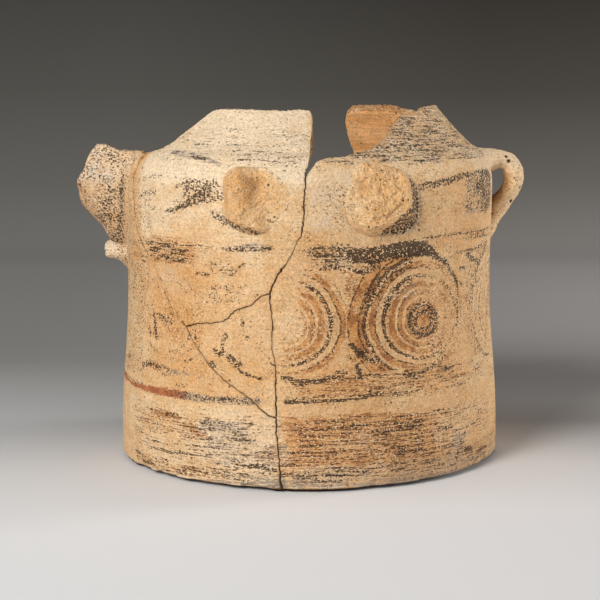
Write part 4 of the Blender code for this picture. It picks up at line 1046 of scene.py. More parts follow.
def spiral_rings(place):
    """Shares of black and ochre left in the running spirals, by how far a point is from a middle."""
    parts = lay("ShaderNodeSeparateXYZ", {0: place}).outputs
    turn = sums("ARCTAN2", parts[1], parts[0])
    along = times(turn, WAIST_RADIUS / MM)
    middle = SPIRAL_FIRST * ARC
    start = middle - SPIRAL_REACH
    along = sums("WRAP", along, start + SPIRAL_STEP * ARC, start)
    across = sums("SUBTRACT", along, middle)
    up = scaled(parts[2], 1 / MM, -SPIRAL_HEIGHT)
    up = scaled(sums("MINIMUM", up, 0.0), FLATTENED_BELOW - 1, up)
    reach = sums("SQRT", scaled(across, across, times(up, up)))
    sway = scaled(noise_step(place, 45, 2), 4.5, -2.25)
    shake = scaled(noise_step(place, 420, 2), 1.6, -0.8)
    reach = sums("ADD", sums("ADD", reach, sway), shake)
    stops = [(out / RINGS_END, (black, ochre, 0, 1)) for out, black, ochre in RINGS]
    shares = split(ramp(sums("DIVIDE", reach, RINGS_END), stops, "CONSTANT"))
    left = attribute(place.id_data, "spiral_left")["Fac"]
    return [times(shares[k], left) for k in (0, 1)]


def slips_left(place, rings):
    """How much of each slip is left, with the spirals' rings where a piece has them."""
    cover = attribute(place.id_data, "slip_cover")
    black, ochre, red = split(cover["Color"])
    if rings:
        black_ring, ochre_ring = spiral_rings(place)
        black = sums("MAXIMUM", black, black_ring)
        ochre = sums("MAXIMUM", ochre, ochre_ring)
    return {"black": black, "ochre": ochre, "red": red, "grey": cover["Alpha"]}


def paint_over(place, colour, amounts, brushed, dust, middle, fine, streak):
    """The clay's colour under slips that flake off in grains or brush lines, and how fully they cover it."""
    lines = noise_step(place, 1500, 3, 0.05)
    short = noise_step(place, 1550, 3, 0.35)
    brushwork = spread(sums("ADD", lines, short), 0.86, 1.14)
    flaking = between(brushed, mottle(place, 1100, 3, 0.7), brushwork)
    flaking = sums("MAXIMUM", flaking, spread(dust, 0.675, 0.705, 0.0, 1.2))
    drawn = spread(brushed, 0.0, 1.0, 0.25, 0.7)
    dark_lines = times(spread(lines, 0.46, 0.38), drawn)
    streaky = between(brushed, middle, streak)
    uneven = scaled(streaky, 0.4, times(fine, 0.3))
    uneven = scaled(middle, 0.3, uneven)
    paint = None
    for slip, (thick, thin) in SLIP_COLOURS.items():
        amount = amounts[slip]
        if slip in ("black", "grey"):
            tone = blend(uneven, thick, thin)
            left = sums("SUBTRACT", amount, flaking)
        else:
            left = scaled(flaking, -0.75, times(amount, 1.3))
            mask = spread(left, 0.0, 0.42, 0.0, 0.92)
        if slip == "black":
            mask = spread(left, 0.0, 0.12, 0.0, 0.96)
            tone = blend(spread(left, 0.22, 0.02, 0.0, 0.75), tone, THIN_BLACK)
        elif slip == "grey":
            mask = times(spread(left, -0.22, 0.5, 0.0, 0.85), spread(amount, 0.0, 0.25))
        elif slip == "ochre":
            tone = blend(spread(uneven, 0.34, 0.68), thick, thin)
            tone = blend(dark_lines, tone, BRUSH_LINE)
        else:
            tone = blend(uneven, thick, thin)
        colour = blend(mask, colour, tone)
        paint = mask if paint is None else sums("MAXIMUM", paint, mask)
    return colour, paint


def clay_finish(name, pale=PALE, buff=BUFF, warm=WARM, specks=0.12, slips=True, crumbly=0.0, lined=0.10,
                rings=False):
    """Fired clay with its mottling, wheel streaks, sand and pits, under what is left of the slips. It has
    more dark flecks with specks, pale and warm crumbs with crumbly, and stronger streaks with lined."""
    finish, place = new_finish(name)
    state = attribute(finish.node_tree, "clay_state")
    warmth, brushed, lime = split(state["Color"])
    grime_and_shade = state["Alpha"]

    # The clay itself, from noise of so many waves a metre
    broad = mottle(place, 24, 2)
    middle = mottle(place, 140, 3)
    fine = mottle(place, 800, 2)
    sand = mottle(place, 2100, 1)
    streak = mottle(place, 1000, 2, 0.06)
    shade = scaled(broad, 0.26, scaled(middle, 0.34, -0.30))
    shade = sums("ADD", shade, warmth)
    colour = blend(spread(shade, 0.0, 0.8), buff, warm)
    colour = blend(spread(shade, 0.05, -0.6), colour, pale)
    tone = scaled(fine, 0.24, scaled(sand, 0.24, 0.76 - lined / 2))
    tone = scaled(streak, lined, tone)
    colour = blend(1.0, colour, tone, "MULTIPLY")
    height = scaled(fine, 0.18, times(middle, 0.18))
    height = scaled(sand, 0.09, height)
    height = scaled(streak, 0.05 + 0.2 * lined, height)
    if crumbly:
        away, lots = cells(place, 1250.0)
        colour = blend(spread(lots[0], 0.66, 0.9, 0.0, crumbly), colour, CREAM)
        colour = blend(spread(lots[1], 0.62, 0.95, 0.0, crumbly), colour, warm)
        height = scaled(away, -1.1 * crumbly, height)
    limed = times(lime, spread(middle, 0.25, 0.8))
    colour = blend(limed, colour, LIME)

    # Pale crumbs, dark flecks and pits, and the slips between them
    crowd = mottle(place, 75, 2)
    amounts = slips_left(place, rings) if slips else {}
    dust = scaled(crowd, 0.06, noise_step(place, 1350, 1, 0.8))
    for amount in amounts.values():
        dust = scaled(sums("MINIMUM", amount, 0.6), 0.035, dust)
    cream = spread(dust, 0.665, 0.71)
    colour = blend(times(cream, 0.62), colour, CREAM)
    crumbs = scaled(crowd, 0.07, noise_step(place, 1150, 2, 0.6))
    flecks = spread(crumbs, 0.700 - 0.12 * specks, 0.725 - 0.12 * specks)
    spots = sums("MAXIMUM", grit(place, 360, 0.30, 0.05), flecks)
    rough = scaled(fine, 0.12, 0.80)
    height = scaled(spots, -0.20, height)
    height = scaled(cream, 0.07, height)
    if slips:
        colour, paint = paint_over(place, colour, amounts, brushed, dust, middle, fine, streak)
        rough = scaled(paint, -0.14, rough)
        height = scaled(paint, 0.06, height)
    colour = blend(times(spots, 0.85), colour, FLECK)
    # Grime, which also paints shade: under the stumps, in their hollows, on the handle's inner side and near
    # the foot
    dirt_and_shade = times(grime_and_shade, spread(fine, 0.0, 1.0, 0.45, 0.95))
    colour = blend(dirt_and_shade, colour, GRIME_AND_SHADE_COLOUR)
    # Past 1 the grime channel paints the near-black contact shadow under the foot
    colour = blend(spread(grime_and_shade, 1.0, 1.8), colour, FOOT_CONTACT_SHADOW)
    dress(colour, rough, height)
    finish.node_tree.nodes["Principled BSDF"].inputs["Specular IOR Level"].default_value = 0.14
    return finish


def store(mesh, name, values):
    """Four values a corner point, kept on the mesh for its finish."""
    kept = mesh.attributes.new(name, "FLOAT_COLOR", "POINT")
    kept.data.foreach_set("color", np.ascontiguousarray(values, np.float32).reshape(-1))


painted_wall = clay_finish("painted_wall", specks=-0.02, rings=True)
bare_inside = clay_finish("bare_inside", pale=(0.86, 0.62, 0.35, 1), buff=(0.80, 0.51, 0.25, 1), specks=0.2,
                          slips=False, lined=0.24)
toned_plaster = clay_finish("toned_plaster", pale=(0.80, 0.62, 0.40, 1), buff=(0.74, 0.54, 0.32, 1),
                            specks=-0.2)
raw_break = clay_finish("raw_break", buff=(0.56, 0.29, 0.11, 1), warm=(0.42, 0.19, 0.065, 1), specks=0.4,
                        slips=False, crumbly=0.5)


def settle(piece, node_name, crisp=None):
    """Gives a piece its place in the frame, smoothed but for edges that turn by crisp degrees."""
    if crisp:
        piece.data.shade_smooth()
        piece.data.set_sharp_from_angle(angle=math.radians(crisp))
    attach(piece, "root")
    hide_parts(node_name)


for node_name, sherd in sherds.items():
    plaster = node_name == "seam_fill"
    mesh = sherd.data
    place = corners(mesh)
    angle = np.degrees(np.arctan2(place[:, 1], place[:, 0]))
    height = place[:, 2] / MM
    store(mesh, "slip_cover", brush_cover(angle, height))
    store(mesh, "clay_state", clay_state(angle, height))
    left = mesh.attributes.new("spiral_left", "FLOAT", "POINT")
    left.data.foreach_set("value", spiral_left(angle, height).astype(np.float32))
    order = {"skin_mark": toned_plaster if plaster else painted_wall, "inside_mark": bare_inside,
             "fracture_mark": raw_break}
    for i, old in enumerate(list(mesh.materials)):
        mesh.materials[i] = order[old.name]
    settle(sherd, node_name, 42)

# BASE SHERDS. The floor is a disc of the same clay that the wall was built up round. It broke in two, and
# the halves are glued inside the foot of the wall.

# The disc's radius and the step of its finger ridges in metres, and its break in shares of the radius
FLOOR_RADIUS = SEAT_RADIUS - 0.0003
FINGER_STEP = 0.0052
FLOOR_BREAK = [
    (-0.135, -1.06), (-0.15, -0.5), (-0.1, -0.05), (-0.14, 0.2), (0.02, 0.62), (0.125, 1.06),
]


def capped(name, grid, first, last):
    """A closed skin over rows of places that run round, with a point before the first and after the last."""
    rows, columns = grid.shape[:2]
    end = (rows - 1) * columns
    points = grid.reshape(-1, 3).tolist() + [tuple(first), tuple(last)]
    faces = grid_faces(rows, columns, False).tolist()
    faces += [((j + 1) % columns, j, len(points) - 2) for j in range(columns)]
    faces += [(end + j, end + (j + 1) % columns, len(points) - 1) for j in range(columns)]
    mesh = bpy.data.meshes.new(name)
    mesh.from_pydata(points, [], faces)
    bm = bmesh.new()
    bm.from_mesh(mesh)
    bmesh.ops.recalc_face_normals(bm, faces=bm.faces)
    bm.to_mesh(mesh)
    bm.free()
    return mesh


def thrown_floor():
    """The floor disc, ridged in a spiral by the potter's fingers above and flat below."""
    rings = np.linspace(0.0, FLOOR_RADIUS, 56)
    turn = np.linspace(0, 2 * math.pi, 200, endpoint=False)
    upper = [(r, FLOOR) for r in rings[1:]]
    lower = [(r, 0.0) for r in rings[::-4][:-1]]
    place = spun(np.array(upper + [(FLOOR_RADIUS, FLOOR / 2)] + lower), turn)
    reach = np.hypot(place[:, :, 0], place[:, :, 1])
    ridge = 0.35 * np.sin(reach / FINGER_STEP * 2 * math.pi + turn) * unit(reach / 0.02)
    rough = clay_noise(place.reshape(-1, 3), 90).reshape(ridge.shape)
    top = place[:, :, 2] > FLOOR * 0.9
    edge = unit((FLOOR_RADIUS - reach) / 0.003)
    place[:, :, 2] += np.where(top, -0.35 + (ridge + 0.25 * rough) * edge - 0.3, 0.0) * MM
    place[:, :, 2] += np.where(place[:, :, 2] < 0.0001, np.abs(rough) * 0.15 * MM, 0.0)
    return capped("thrown_floor", place, (0, 0, FLOOR - 0.0007), (0, 0, 0.0001))


def floor_blade(thickness, low, high):
    """Sections of a thin upright strip along the break across the floor."""
    points, _ = spaced(np.array(FLOOR_BREAK) * FLOOR_RADIUS / MM, 1.5)
    points = points + np.random.default_rng(FLOOR_SEED).normal(0, 0.18, points.shape)
    left = sideways(points) * thickness / 2
    sections = []
    for a, b in zip((points + left) * MM, (points - left) * MM):
        sections.append([(*a, low), (*a, high), (*b, high), (*b, low)])
    return sections


disc = shown("thrown_floor", thrown_floor())
disc.data.materials.append(bpy.data.materials.new("floor_mark"))
floor_cut = shown("floor_break", loft("floor_break", floor_blade(0.5, -0.004, 0.014)))
floor_cut.data.materials.append(fracture)
broken = cut_up(disc, [floor_cut])
halves = sorted(loose_pieces(broken), key=lambda body: corners(body.data)[:, 0].mean())
plain_floor = clay_finish("plain_floor", specks=0.3, slips=False)
for node_name, half in zip(("left_base_sherd", "right_base_sherd"), halves):
    half.name = node_name + "_fired"
    for i, old in enumerate(list(half.data.materials)):
        half.data.materials[i] = raw_break if old.name == "fracture_mark" else plain_floor
    for what in ("slip_cover", "clay_state"):
        store(half.data, what, np.zeros((len(half.data.vertices), 4)))
    settle(half, node_name, 42)

# GLUE FILMS. Old brown adhesive fills each join a little below the surface. On the join beside the spout it
# was bulked out with pale plaster and stands slightly proud.

# How far in from the wall's outer face the films reach, in mm
GLUE_DEPTH = WALL / MM - 0.9


def glue_finish(name, colour, dark, rough):
    """Patchy old adhesive or plaster."""
    finish, place = new_finish(name)
    patchy = mottle(place, 300, 4)
    fine = mottle(place, 1400, 3)
    dress(blend(patchy, colour, dark), scaled(fine, 0.25, rough), patchy, 0.6, 0.2 * MM)
    return finish


brown_glue = glue_finish("brown_glue", (0.075, 0.033, 0.011, 1), (0.032, 0.015, 0.006, 1), 0.5)
plaster_bead = glue_finish("plaster_bead", (0.66, 0.43, 0.21, 1), (0.46, 0.24, 0.085, 1), 0.8)


def part_of(route, seed, first, last):
    """The jagged points of a break between two of its named points."""
    points, _ = jagged(route, seed)
    ends = [int(np.argmin(np.hypot(points[:, 0] - a * ARC, points[:, 1] - h))) for a, h, _ in (first, last)]
    return points[ends[0]:ends[1] + 1]


def glue_film(node_name, points, thickness=0.3, sunk=1.3, finish=brown_glue):
    """A film in a join, from sunk mm under the outer face nearly to the inner one."""
    left = sideways(points) * thickness / 2
    levels = (GLUE_DEPTH, (sunk + GLUE_DEPTH) / 2, sunk)
    sections = []
    for a, b in zip(points + left, points - left):
        section = [on_wall(a, -depth) for depth in levels]
        sections.append(section + [on_wall(b, -depth) for depth in reversed(levels)])
    film = shown(node_name + "_film", loft(node_name + "_film", sections))
    film.data.materials.append(finish)
    settle(film, node_name, 40)


for node_name, route, seed, first, last in (
    ("front_upper_glue", front_route, FRONT_SEED, FRONT_BREAK_UPPER[2], FRONT_BREAK_UPPER[-1]),
    ("triangle_right_glue", front_route, FRONT_SEED, TRIANGLE_RIGHT_BREAK[1], TRIANGLE_RIGHT_BREAK[-2]),
    ("front_lower_glue", front_route, FRONT_SEED, FRONT_BREAK_LOWER[0], FRONT_BREAK_LOWER[-2]),
    ("triangle_top_glue", upper_route, UPPER_SEED, TRIANGLE_TOP_BREAK[1], TRIANGLE_TOP_BREAK[-2]),
    ("triangle_left_glue", TRIANGLE_LEFT_BREAK, LEFT_SEED, TRIANGLE_LEFT_BREAK[1], TRIANGLE_LEFT_BREAK[-2]),
    ("back_glue", BACK_BREAK, BACK_SEED, BACK_BREAK[1], BACK_BREAK[-2]),
):
    glue_film(node_name, part_of(route, seed, first, last))
seam = part_of(upper_route, UPPER_SEED, SPOUT_SEAM_BREAK[0], SPOUT_SEAM_BREAK[-1])
glue_film("spout_seam_glue", seam, 0.8, -0.18, plaster_bead)
film_sections = floor_blade(0.3, 0.0009, FLOOR - 0.0016)[5:-5]
base_film = shown("base_glue_film", loft("base_glue_film", film_sections))
base_film.data.materials.append(brown_glue)
settle(base_film, "base_glue")

# SPOUT. A trough of coarser, speckled clay luted on to the shoulder at the left. The bridge that closed its
# top is lost, and its mouth is snapped off rough.

# In mm: its thickness, the height of its rim, how deep and half how wide it is at the wall, how much it
# narrows to its end, and how far the fillet at its root spreads aside and fades outwards
SPOUT_WALL = 5.0
SPOUT_RIM = 163.3
SPOUT_DEPTH = 28.7
SPOUT_HALF = 22.6
SPOUT_TAPER = 4.6
FILLET_SPREAD = 6.2
FILLET_FADE = 2.6
# Its broken end, its underside and its rim seen from the front, as (mm from the jar's middle, mm up)
SPOUT_END = [
    (-105.6, 113), (-106.6, 116.4), (-109, 120.3), (-115.1, 126.5), (-119.2, 132.1), (-119.5, 136),
    (-119.8, 140), (-120.6, 143), (-119.8, 146.4), (-118.9, 149.8), (-116.8, 152.4), (-115.8, 156),
    (-113.4, 160), (-110, 163), (-106, 167),
]
SPOUT_UNDERSIDE = [
    (-120.4, 134.2), (-119.2, 131.4), (-115.1, 126.2), (-110.9, 122), (-108.9, 119.8), (-106.6, 116),
    (-105.2, 112.8), (-102, 110.2), (-97, 107.5), (-90, 106),
]
SPOUT_TOP = [
    (-125, 165), (-110, 163.6), (-105.8, 163.5), (-100.7, 161.9), (-97.6, 160.9), (-94.6, 160.4),
    (-80, 160.4),
]


def spout_place(s, aside, sink, shrink):
    """A point of the trough: s runs from the wall to the end, aside from back to front, sink from the rim
    to the underside, and shrink in mm from the outer face inwards."""
    end_reach, end_height = np.array(SPOUT_END).T
    under_reach, under_height = np.array(SPOUT_UNDERSIDE).T
    top_reach, top_height = np.array(SPOUT_TOP).T
    lower_back = 3.6 * eased(min(max(0.5 - aside * 0.9, 0), 1)) if aside < 0.5 else 0.0
    end_at = SPOUT_RIM - (SPOUT_DEPTH - shrink) * sink
    end = float(np.interp(end_at, end_height, end_reach)) + 0.4 * aside * aside
    end += 0.6 * lumps(Vector((aside * 3.2, end_at * 0.17, 4.0)))
    # The wall's reach hangs on the point's height and the height on the reach, so both are found by turns
    y = 22.0 * -aside
    z = 150.0
    for _ in range(3):
        reach = math.sqrt(max((float(radius_at(z * MM)) / MM) ** 2 - y * y, 70.0 ** 2))
        start = -reach + (1.6 if shrink == 0 else 2.4)
        x = start + (end - start) * s
        top = float(np.interp(x, top_reach, top_height)) - lower_back
        top += 0.8 * lumps(Vector((x * 0.25, aside, 8.0))) * min(s * 4, 1)
        low = float(np.interp(x, under_reach, under_height))
        z = top - (top - low - shrink) * sink
    proud = max(-x - reach, 0.0)
    fillet = FILLET_SPREAD * math.exp(-proud / FILLET_FADE) if shrink == 0 else 0.0
    half = SPOUT_HALF - SPOUT_TAPER * s - shrink + fillet
    return Vector((x, -half * aside, z)) * MM


def spout_mesh():
    """The trough as a grid: from the wall to the broken end, around under it, and through its thickness."""
    along = np.linspace(0, 1, 56) ** 1.5
    around = np.linspace(0, math.pi, 85)
    count, wide = len(along), len(around)
    bm = bmesh.new()
    verts = {}
    for side, shrink in enumerate((0.0, SPOUT_WALL)):
        for i, s in enumerate(along):
            for j, a in enumerate(around):
                sink = math.sin(a) ** 0.8 if 0 < j < wide - 1 else 0.0
                verts[side, i, j] = bm.verts.new(spout_place(s, -math.cos(a), sink, shrink))
    bm.verts.index_update()

    def face(*places):
        return bm.faces.new([verts[place] for place in places])

    broken = []
    for i in range(count - 1):
        for j in range(wide - 1):
            for side in (0, 1):
                face((side, i, j), (side, i, j + 1), (side, i + 1, j + 1), (side, i + 1, j))
        for j in (0, wide - 1):
            broken.append(face((0, i, j), (0, i + 1, j), (1, i + 1, j), (1, i, j)))
    for i in (0, count - 1):
        for j in range(wide - 1):
            broken.append(face((0, i, j), (0, i, j + 1), (1, i, j + 1), (1, i, j)))
    through = set()
    for rough in broken:
        rough.material_index = 1
        for edge in rough.edges:
            if edge.verts[0].index // (count * wide) != edge.verts[1].index // (count * wide):
                through.add(edge)
    bmesh.ops.subdivide_edges(bm, edges=list(through), cuts=5, use_grid_fill=True)
    bmesh.ops.recalc_face_normals(bm, faces=bm.faces)
    bm.normal_update()
    moves = []
    for vert in bm.verts:
        p = vert.co / MM
        move = 0.35 * lumps(p * 0.13, 3) + 0.16 * lumps(p * 0.75, 3)
        if any(near.material_index == 1 for near in vert.link_faces):
            move += 0.6 * lumps(p * 0.42)
        moves.append(vert.normal * move * MM)
    for vert, move in zip(bm.verts, moves):
        vert.co += move
    mesh = bpy.data.meshes.new("spout_fired")
    bm.to_mesh(mesh)
    bm.free()
    return mesh


def spout_wear(mesh):
    """Specks of worn slip on the spout, thick under it and along its root, and a clear mended fillet."""
    place = corners(mesh) / MM
    reach = np.hypot(place[:, 0], place[:, 1])
    proud = reach - radius_at(place[:, 2] * MM) / MM
    height = place[:, 2]
    patch = clay_noise(place * MM, 120, 3, 1.0, 21)
    clear = unit((proud - 1.6 - 0.06 * (130 - height).clip(0, 30)) / 1.6)
    low = unit((150 - height) / 26)
    inner = unit((112 + place[:, 0]) / 9)
    black = (0.12 + 0.36 * low * inner + 0.13 * inner + 0.46 * patch) * clear
    black += 0.5 * np.exp(-((proud - FILLET_FADE) / 1.3) ** 2) * unit((152 - height) / 6)
    grey = (0.22 + 0.34 * patch) * clear
    ochre = unit((-place[:, 0] - 113) / 7) * (0.16 + 0.4 * patch) + 0.26 * clear
    zero = np.zeros(len(place))
    cover = [black.clip(0, 0.8), ochre.clip(0, 0.7), zero, grey.clip(0, 0.6)]
    store(mesh, "slip_cover", np.stack(cover, axis=1))
    lime = unit((height - 140) / 10) * unit((-place[:, 0] - 97) / 4)
    lime = lime * (0.75 + 0.5 * patch)
    warm = 0.10 - 0.25 * unit((height - 135) / 12) + 0.15 * low
    store(mesh, "clay_state", np.stack([warm, zero, lime.clip(0, 0.9), zero], axis=1))


spout_clay = clay_finish("spout_clay", buff=(0.645, 0.425, 0.24, 1), specks=0.26)
spout = shown("spout_fired", spout_mesh())
# One finish for its faces and again for its broken edges, which are marked as its second
for _ in range(2):
    spout.data.materials.append(spout_clay)
spout_wear(spout.data)
settle(spout, "spout", 50)

# PELLET. A stub of clay that the potter pressed on by hand under the spout. Its root is smoothed on to the
# wall, and its end is worn pale.

# The roll as (mm from the jar's middle, mm up, half its thickness, half its width)
PELLET_ROLL = [
    (-92.5, 107.2, 11.5, 13), (-95, 107.2, 11, 12.5), (-97.4, 107.2, 9.2, 10.5), (-98.6, 107.2, 7.4, 8.6),
    (-101.3, 107.2, 5.5, 6.3), (-104.6, 107.4, 5, 5.8), (-106.6, 107.6, 4.7, 5.4),
    (-107.8, 107.7, 3.4, 4), (-108.2, 107.7, 1.6, 2),
]


def tube(name, path, sizes, steps=40):
    """A hand-rolled length of clay along a path in mm; sizes are its half thickness and half width."""
    wide = np.array((0.0, 1.0, 0.0))
    sections = []
    for point, along, (thick, width) in zip(path, runs(path), sizes):
        up = np.cross(along, wide)
        section = []
        for k in range(steps):
            a = 2 * math.pi * k / steps
            section.append((point + up * thick * math.cos(a) + wide * width * math.sin(a)) * MM)
        sections.append(section)
    return loft(name, sections)


def hand_worked(mesh, broad, fine, seed):
    """Presses and pits a piece as fingers and age leave it, and smooths it."""
    bm = bmesh.new()
    bm.from_mesh(mesh)
    bm.normal_update()
    shift = Vector((seed * 3.1, seed * 1.7, seed * 2.3))
    for vert in bm.verts:
        p = vert.co / MM + shift
        move = broad * lumps(p * 0.12, 3) + fine * lumps(p * 0.7, 3)
        vert.co += vert.normal * move * MM
    bm.to_mesh(mesh)
    bm.free()
    mesh.shade_smooth()
    mesh.set_sharp_from_angle(angle=math.radians(60))


def rolled(table, count):
    """A roll's middle line and its sizes, smoothly through the points of a table."""
    smooth = through_points(table, count)
    return np.column_stack([smooth[:, 0], np.zeros(count), smooth[:, 1]]), smooth[:, 2:]


pellet_line, pellet_sizes = rolled(PELLET_ROLL, 60)
pellet = shown("spout_pellet_fired", tube("spout_pellet_fired", pellet_line, pellet_sizes))
hand_worked(pellet.data, 0.8, 0.35, 2)
pellet.data.materials.append(spout_clay)
worn = corners(pellet.data) / MM
rubbed = unit((98 + worn[:, 0]) / 5 + 1)
store(pellet.data, "slip_cover", np.outer(rubbed, (0.30, 0.10, 0.0, 0.10)))
store(pellet.data, "clay_state", np.outer(1 - rubbed, (-0.45, 0.0, 0.55, 0.0)))
settle(pellet, "spout_pellet")

# REAR HANDLE. A roll of clay bent into a small upright loop opposite the spout, pressed on to the shoulder
# and smoothed down on to the wall below.

# The roll as the pellet's, and holes that grit left in it as (place, radius, depth) in mm
HANDLE_ROLL = [
    (84, 151.6, 9, 30), (88.5, 152.6, 8, 24), (93, 153.5, 6.8, 16), (97.3, 154.3, 5.9, 10.6),
    (101.2, 154.5, 5, 8.2), (105.8, 152.4, 5, 7.6), (108.2, 147.6, 5.2, 7.6), (108.1, 142.4, 5.1, 7.5),
    (106.2, 137.8, 4.9, 7.5), (103.4, 133.8, 4.9, 7.6), (99.9, 129.6, 5.3, 8), (97.4, 125.4, 4.7, 8.6),
    (95, 121.2, 4.8, 9.6), (92.6, 116.8, 5.2, 10.8), (89.6, 112.4, 5, 11),
]
HANDLE_HOLES = [
    ((103.6, -7.2, 156.6), 1.05, 1.5), ((104.4, -7.4, 153.8), 0.95, 1.5), ((111.6, -5.4, 139.8), 1.1, 0.8),
    ((106.6, -5.6, 132.6), 1.2, 0.9), ((108.4, 6.0, 149.0), 1.3, 1.0), ((101.0, 7.0, 130.2), 1.2, 0.9),
]
# The loop below the shoulder begins at this point of the roll
LOOP_START = 55
handle_line, handle_sizes = rolled(HANDLE_ROLL, 190)
handle = shown("rear_handle_fired", tube("rear_handle_fired", handle_line, handle_sizes, 88))
hand_worked(handle.data, 0.5, 0.10, 4)


def picked_holes(mesh, holes):
    """Sinks holes into a piece and tells how dark each of its points is."""
    places = corners(mesh) / MM
    dark = np.zeros(len(places))
    for centre, radius, depth in holes:
        gap = np.linalg.norm(places - np.array(centre), axis=1)
        for i in np.where(gap < radius)[0]:
            share = 1 - (gap[i] / radius) ** 2
            mesh.vertices[i].co -= mesh.vertices[i].normal * depth * share * MM
            dark[i] = max(dark[i], min(share * 2.4, 1.0))
    return dark


dark = picked_holes(handle.data, HANDLE_HOLES)
handle_clay = clay_finish("handle_clay", buff=(0.80, 0.55, 0.305, 1), specks=0.20)
handle.data.materials.append(handle_clay)
handle_place = corners(handle.data) / MM
loop = handle_line[LOOP_START:]
middle = loop[np.argmin(np.abs(handle_place[:, None, 2] - loop[None, :, 2]), axis=1)]
# The loop's inner side is painted warmer and darker, partly dirt and partly painted shade, and its top is
# painted paler as a painted highlight
inner_side = unit((middle[:, 0] - handle_place[:, 0]) / 5)
inner_side = inner_side * unit((150 - handle_place[:, 2]) / 6)
top_highlight = unit((handle_place[:, 2] - 146) / 8)
none = np.zeros(len(handle_place))
dirt_and_shade = np.maximum(dark * 1.6, 0.30 * inner_side)
state = [0.62 * inner_side - 0.30 * top_highlight, none, 0.30 * top_highlight, dirt_and_shade]
store(handle.data, "slip_cover", np.zeros((len(handle_place), 4)))
store(handle.data, "clay_state", np.stack(state, axis=1))
settle(handle, "rear_handle")

# HANDLE STUMPS. Two lumps are the roots of a lost loop on the front, and one is left of the loop on the
# back. Each has a smooth flank, luted on to the wall, and a rough face where the loop snapped off.

# Each stump as its place (degrees, mm), half its width and height, its dome, its broken face, dips in the
# face, warm and pale spots on it as (along, up, radius, how much), where the warmest spots also paint shade
# into the hollows, and a seed
STUMPS = {
    "front_handle_stump_left": (
        (-106.0, 140.8), (16.6, 16.0), 9.6, (4.8, -0.42, -0.14),
        [(0.5, 9.0, 4.6, 2.8), (0.0, 2.0, 4.0, 2.0), (-1.0, -8.0, 4.0, 0.8), (10.0, -10.0, 7.0, 3.0)],
        [(0.5, 8.0, 4.4, 0.85), (0.0, 1.5, 4.2, 0.62), (-10.0, 0.0, 6.0, 0.16), (10.0, -4.0, 8.0, -0.30),
         (0.0, -12.0, 5.0, -0.2)], 1),
    "front_handle_stump_right": (
        (-69.4, 140.4), (18.6, 17.0), 10.2, (5.3, 0.24, -0.18),
        [(-11.0, 7.5, 3.0, 1.4), (3.0, -9.0, 4.0, 0.8)],
        [(-10.5, 6.5, 3.6, 0.55), (2.0, 3.0, 12.0, 0.22), (-3.0, -10.0, 6.0, 0.2),
         (-15.0, -4.0, 7.0, -0.4)], 2),
    "back_handle_stump": (
        (116.0, 142.0), (15.0, 14.5), 8.2, (5.0, 0.28, 0.0),
        [(2.0, 3.0, 5.0, 1.2)],
        [(0.0, 2.0, 7.0, 0.5)], 3),
}
STUMP_RINGS = 58
STUMP_STEPS = 168
# The grain of a broken face, as (waves a mm, mm of relief)
BREAK_GRAIN = ((0.10, 1.4), (0.26, 0.9), (0.7, 0.36), (1.5, 0.26))


def skin_place(angle, height, out):
    """Places on the wall's outer face, out mm away from it and square to it."""
    line, line_out = spaced(OUTER, FINE_STEP)
    at = height * MM
    rising = line[:, 1] > 0.004
    radius = np.interp(at, line[rising, 1], line[rising, 0])
    side = np.interp(at, line[rising, 1], line_out[rising, 0])
    up = np.interp(at, line[rising, 1], line_out[rising, 1])
    reach = radius + side * out * MM
    turn = np.radians(angle)
    return np.stack([reach * np.cos(turn), reach * np.sin(turn), at + up * out * MM], axis=-1)


def hills(u, v, spots):
    """Rounded hills on a stump's face, as (along, up, radius, height) in mm."""
    return sum(high * np.exp(-((u - du) ** 2 + (v - dv) ** 2) / size ** 2) for du, dv, size, high in spots)


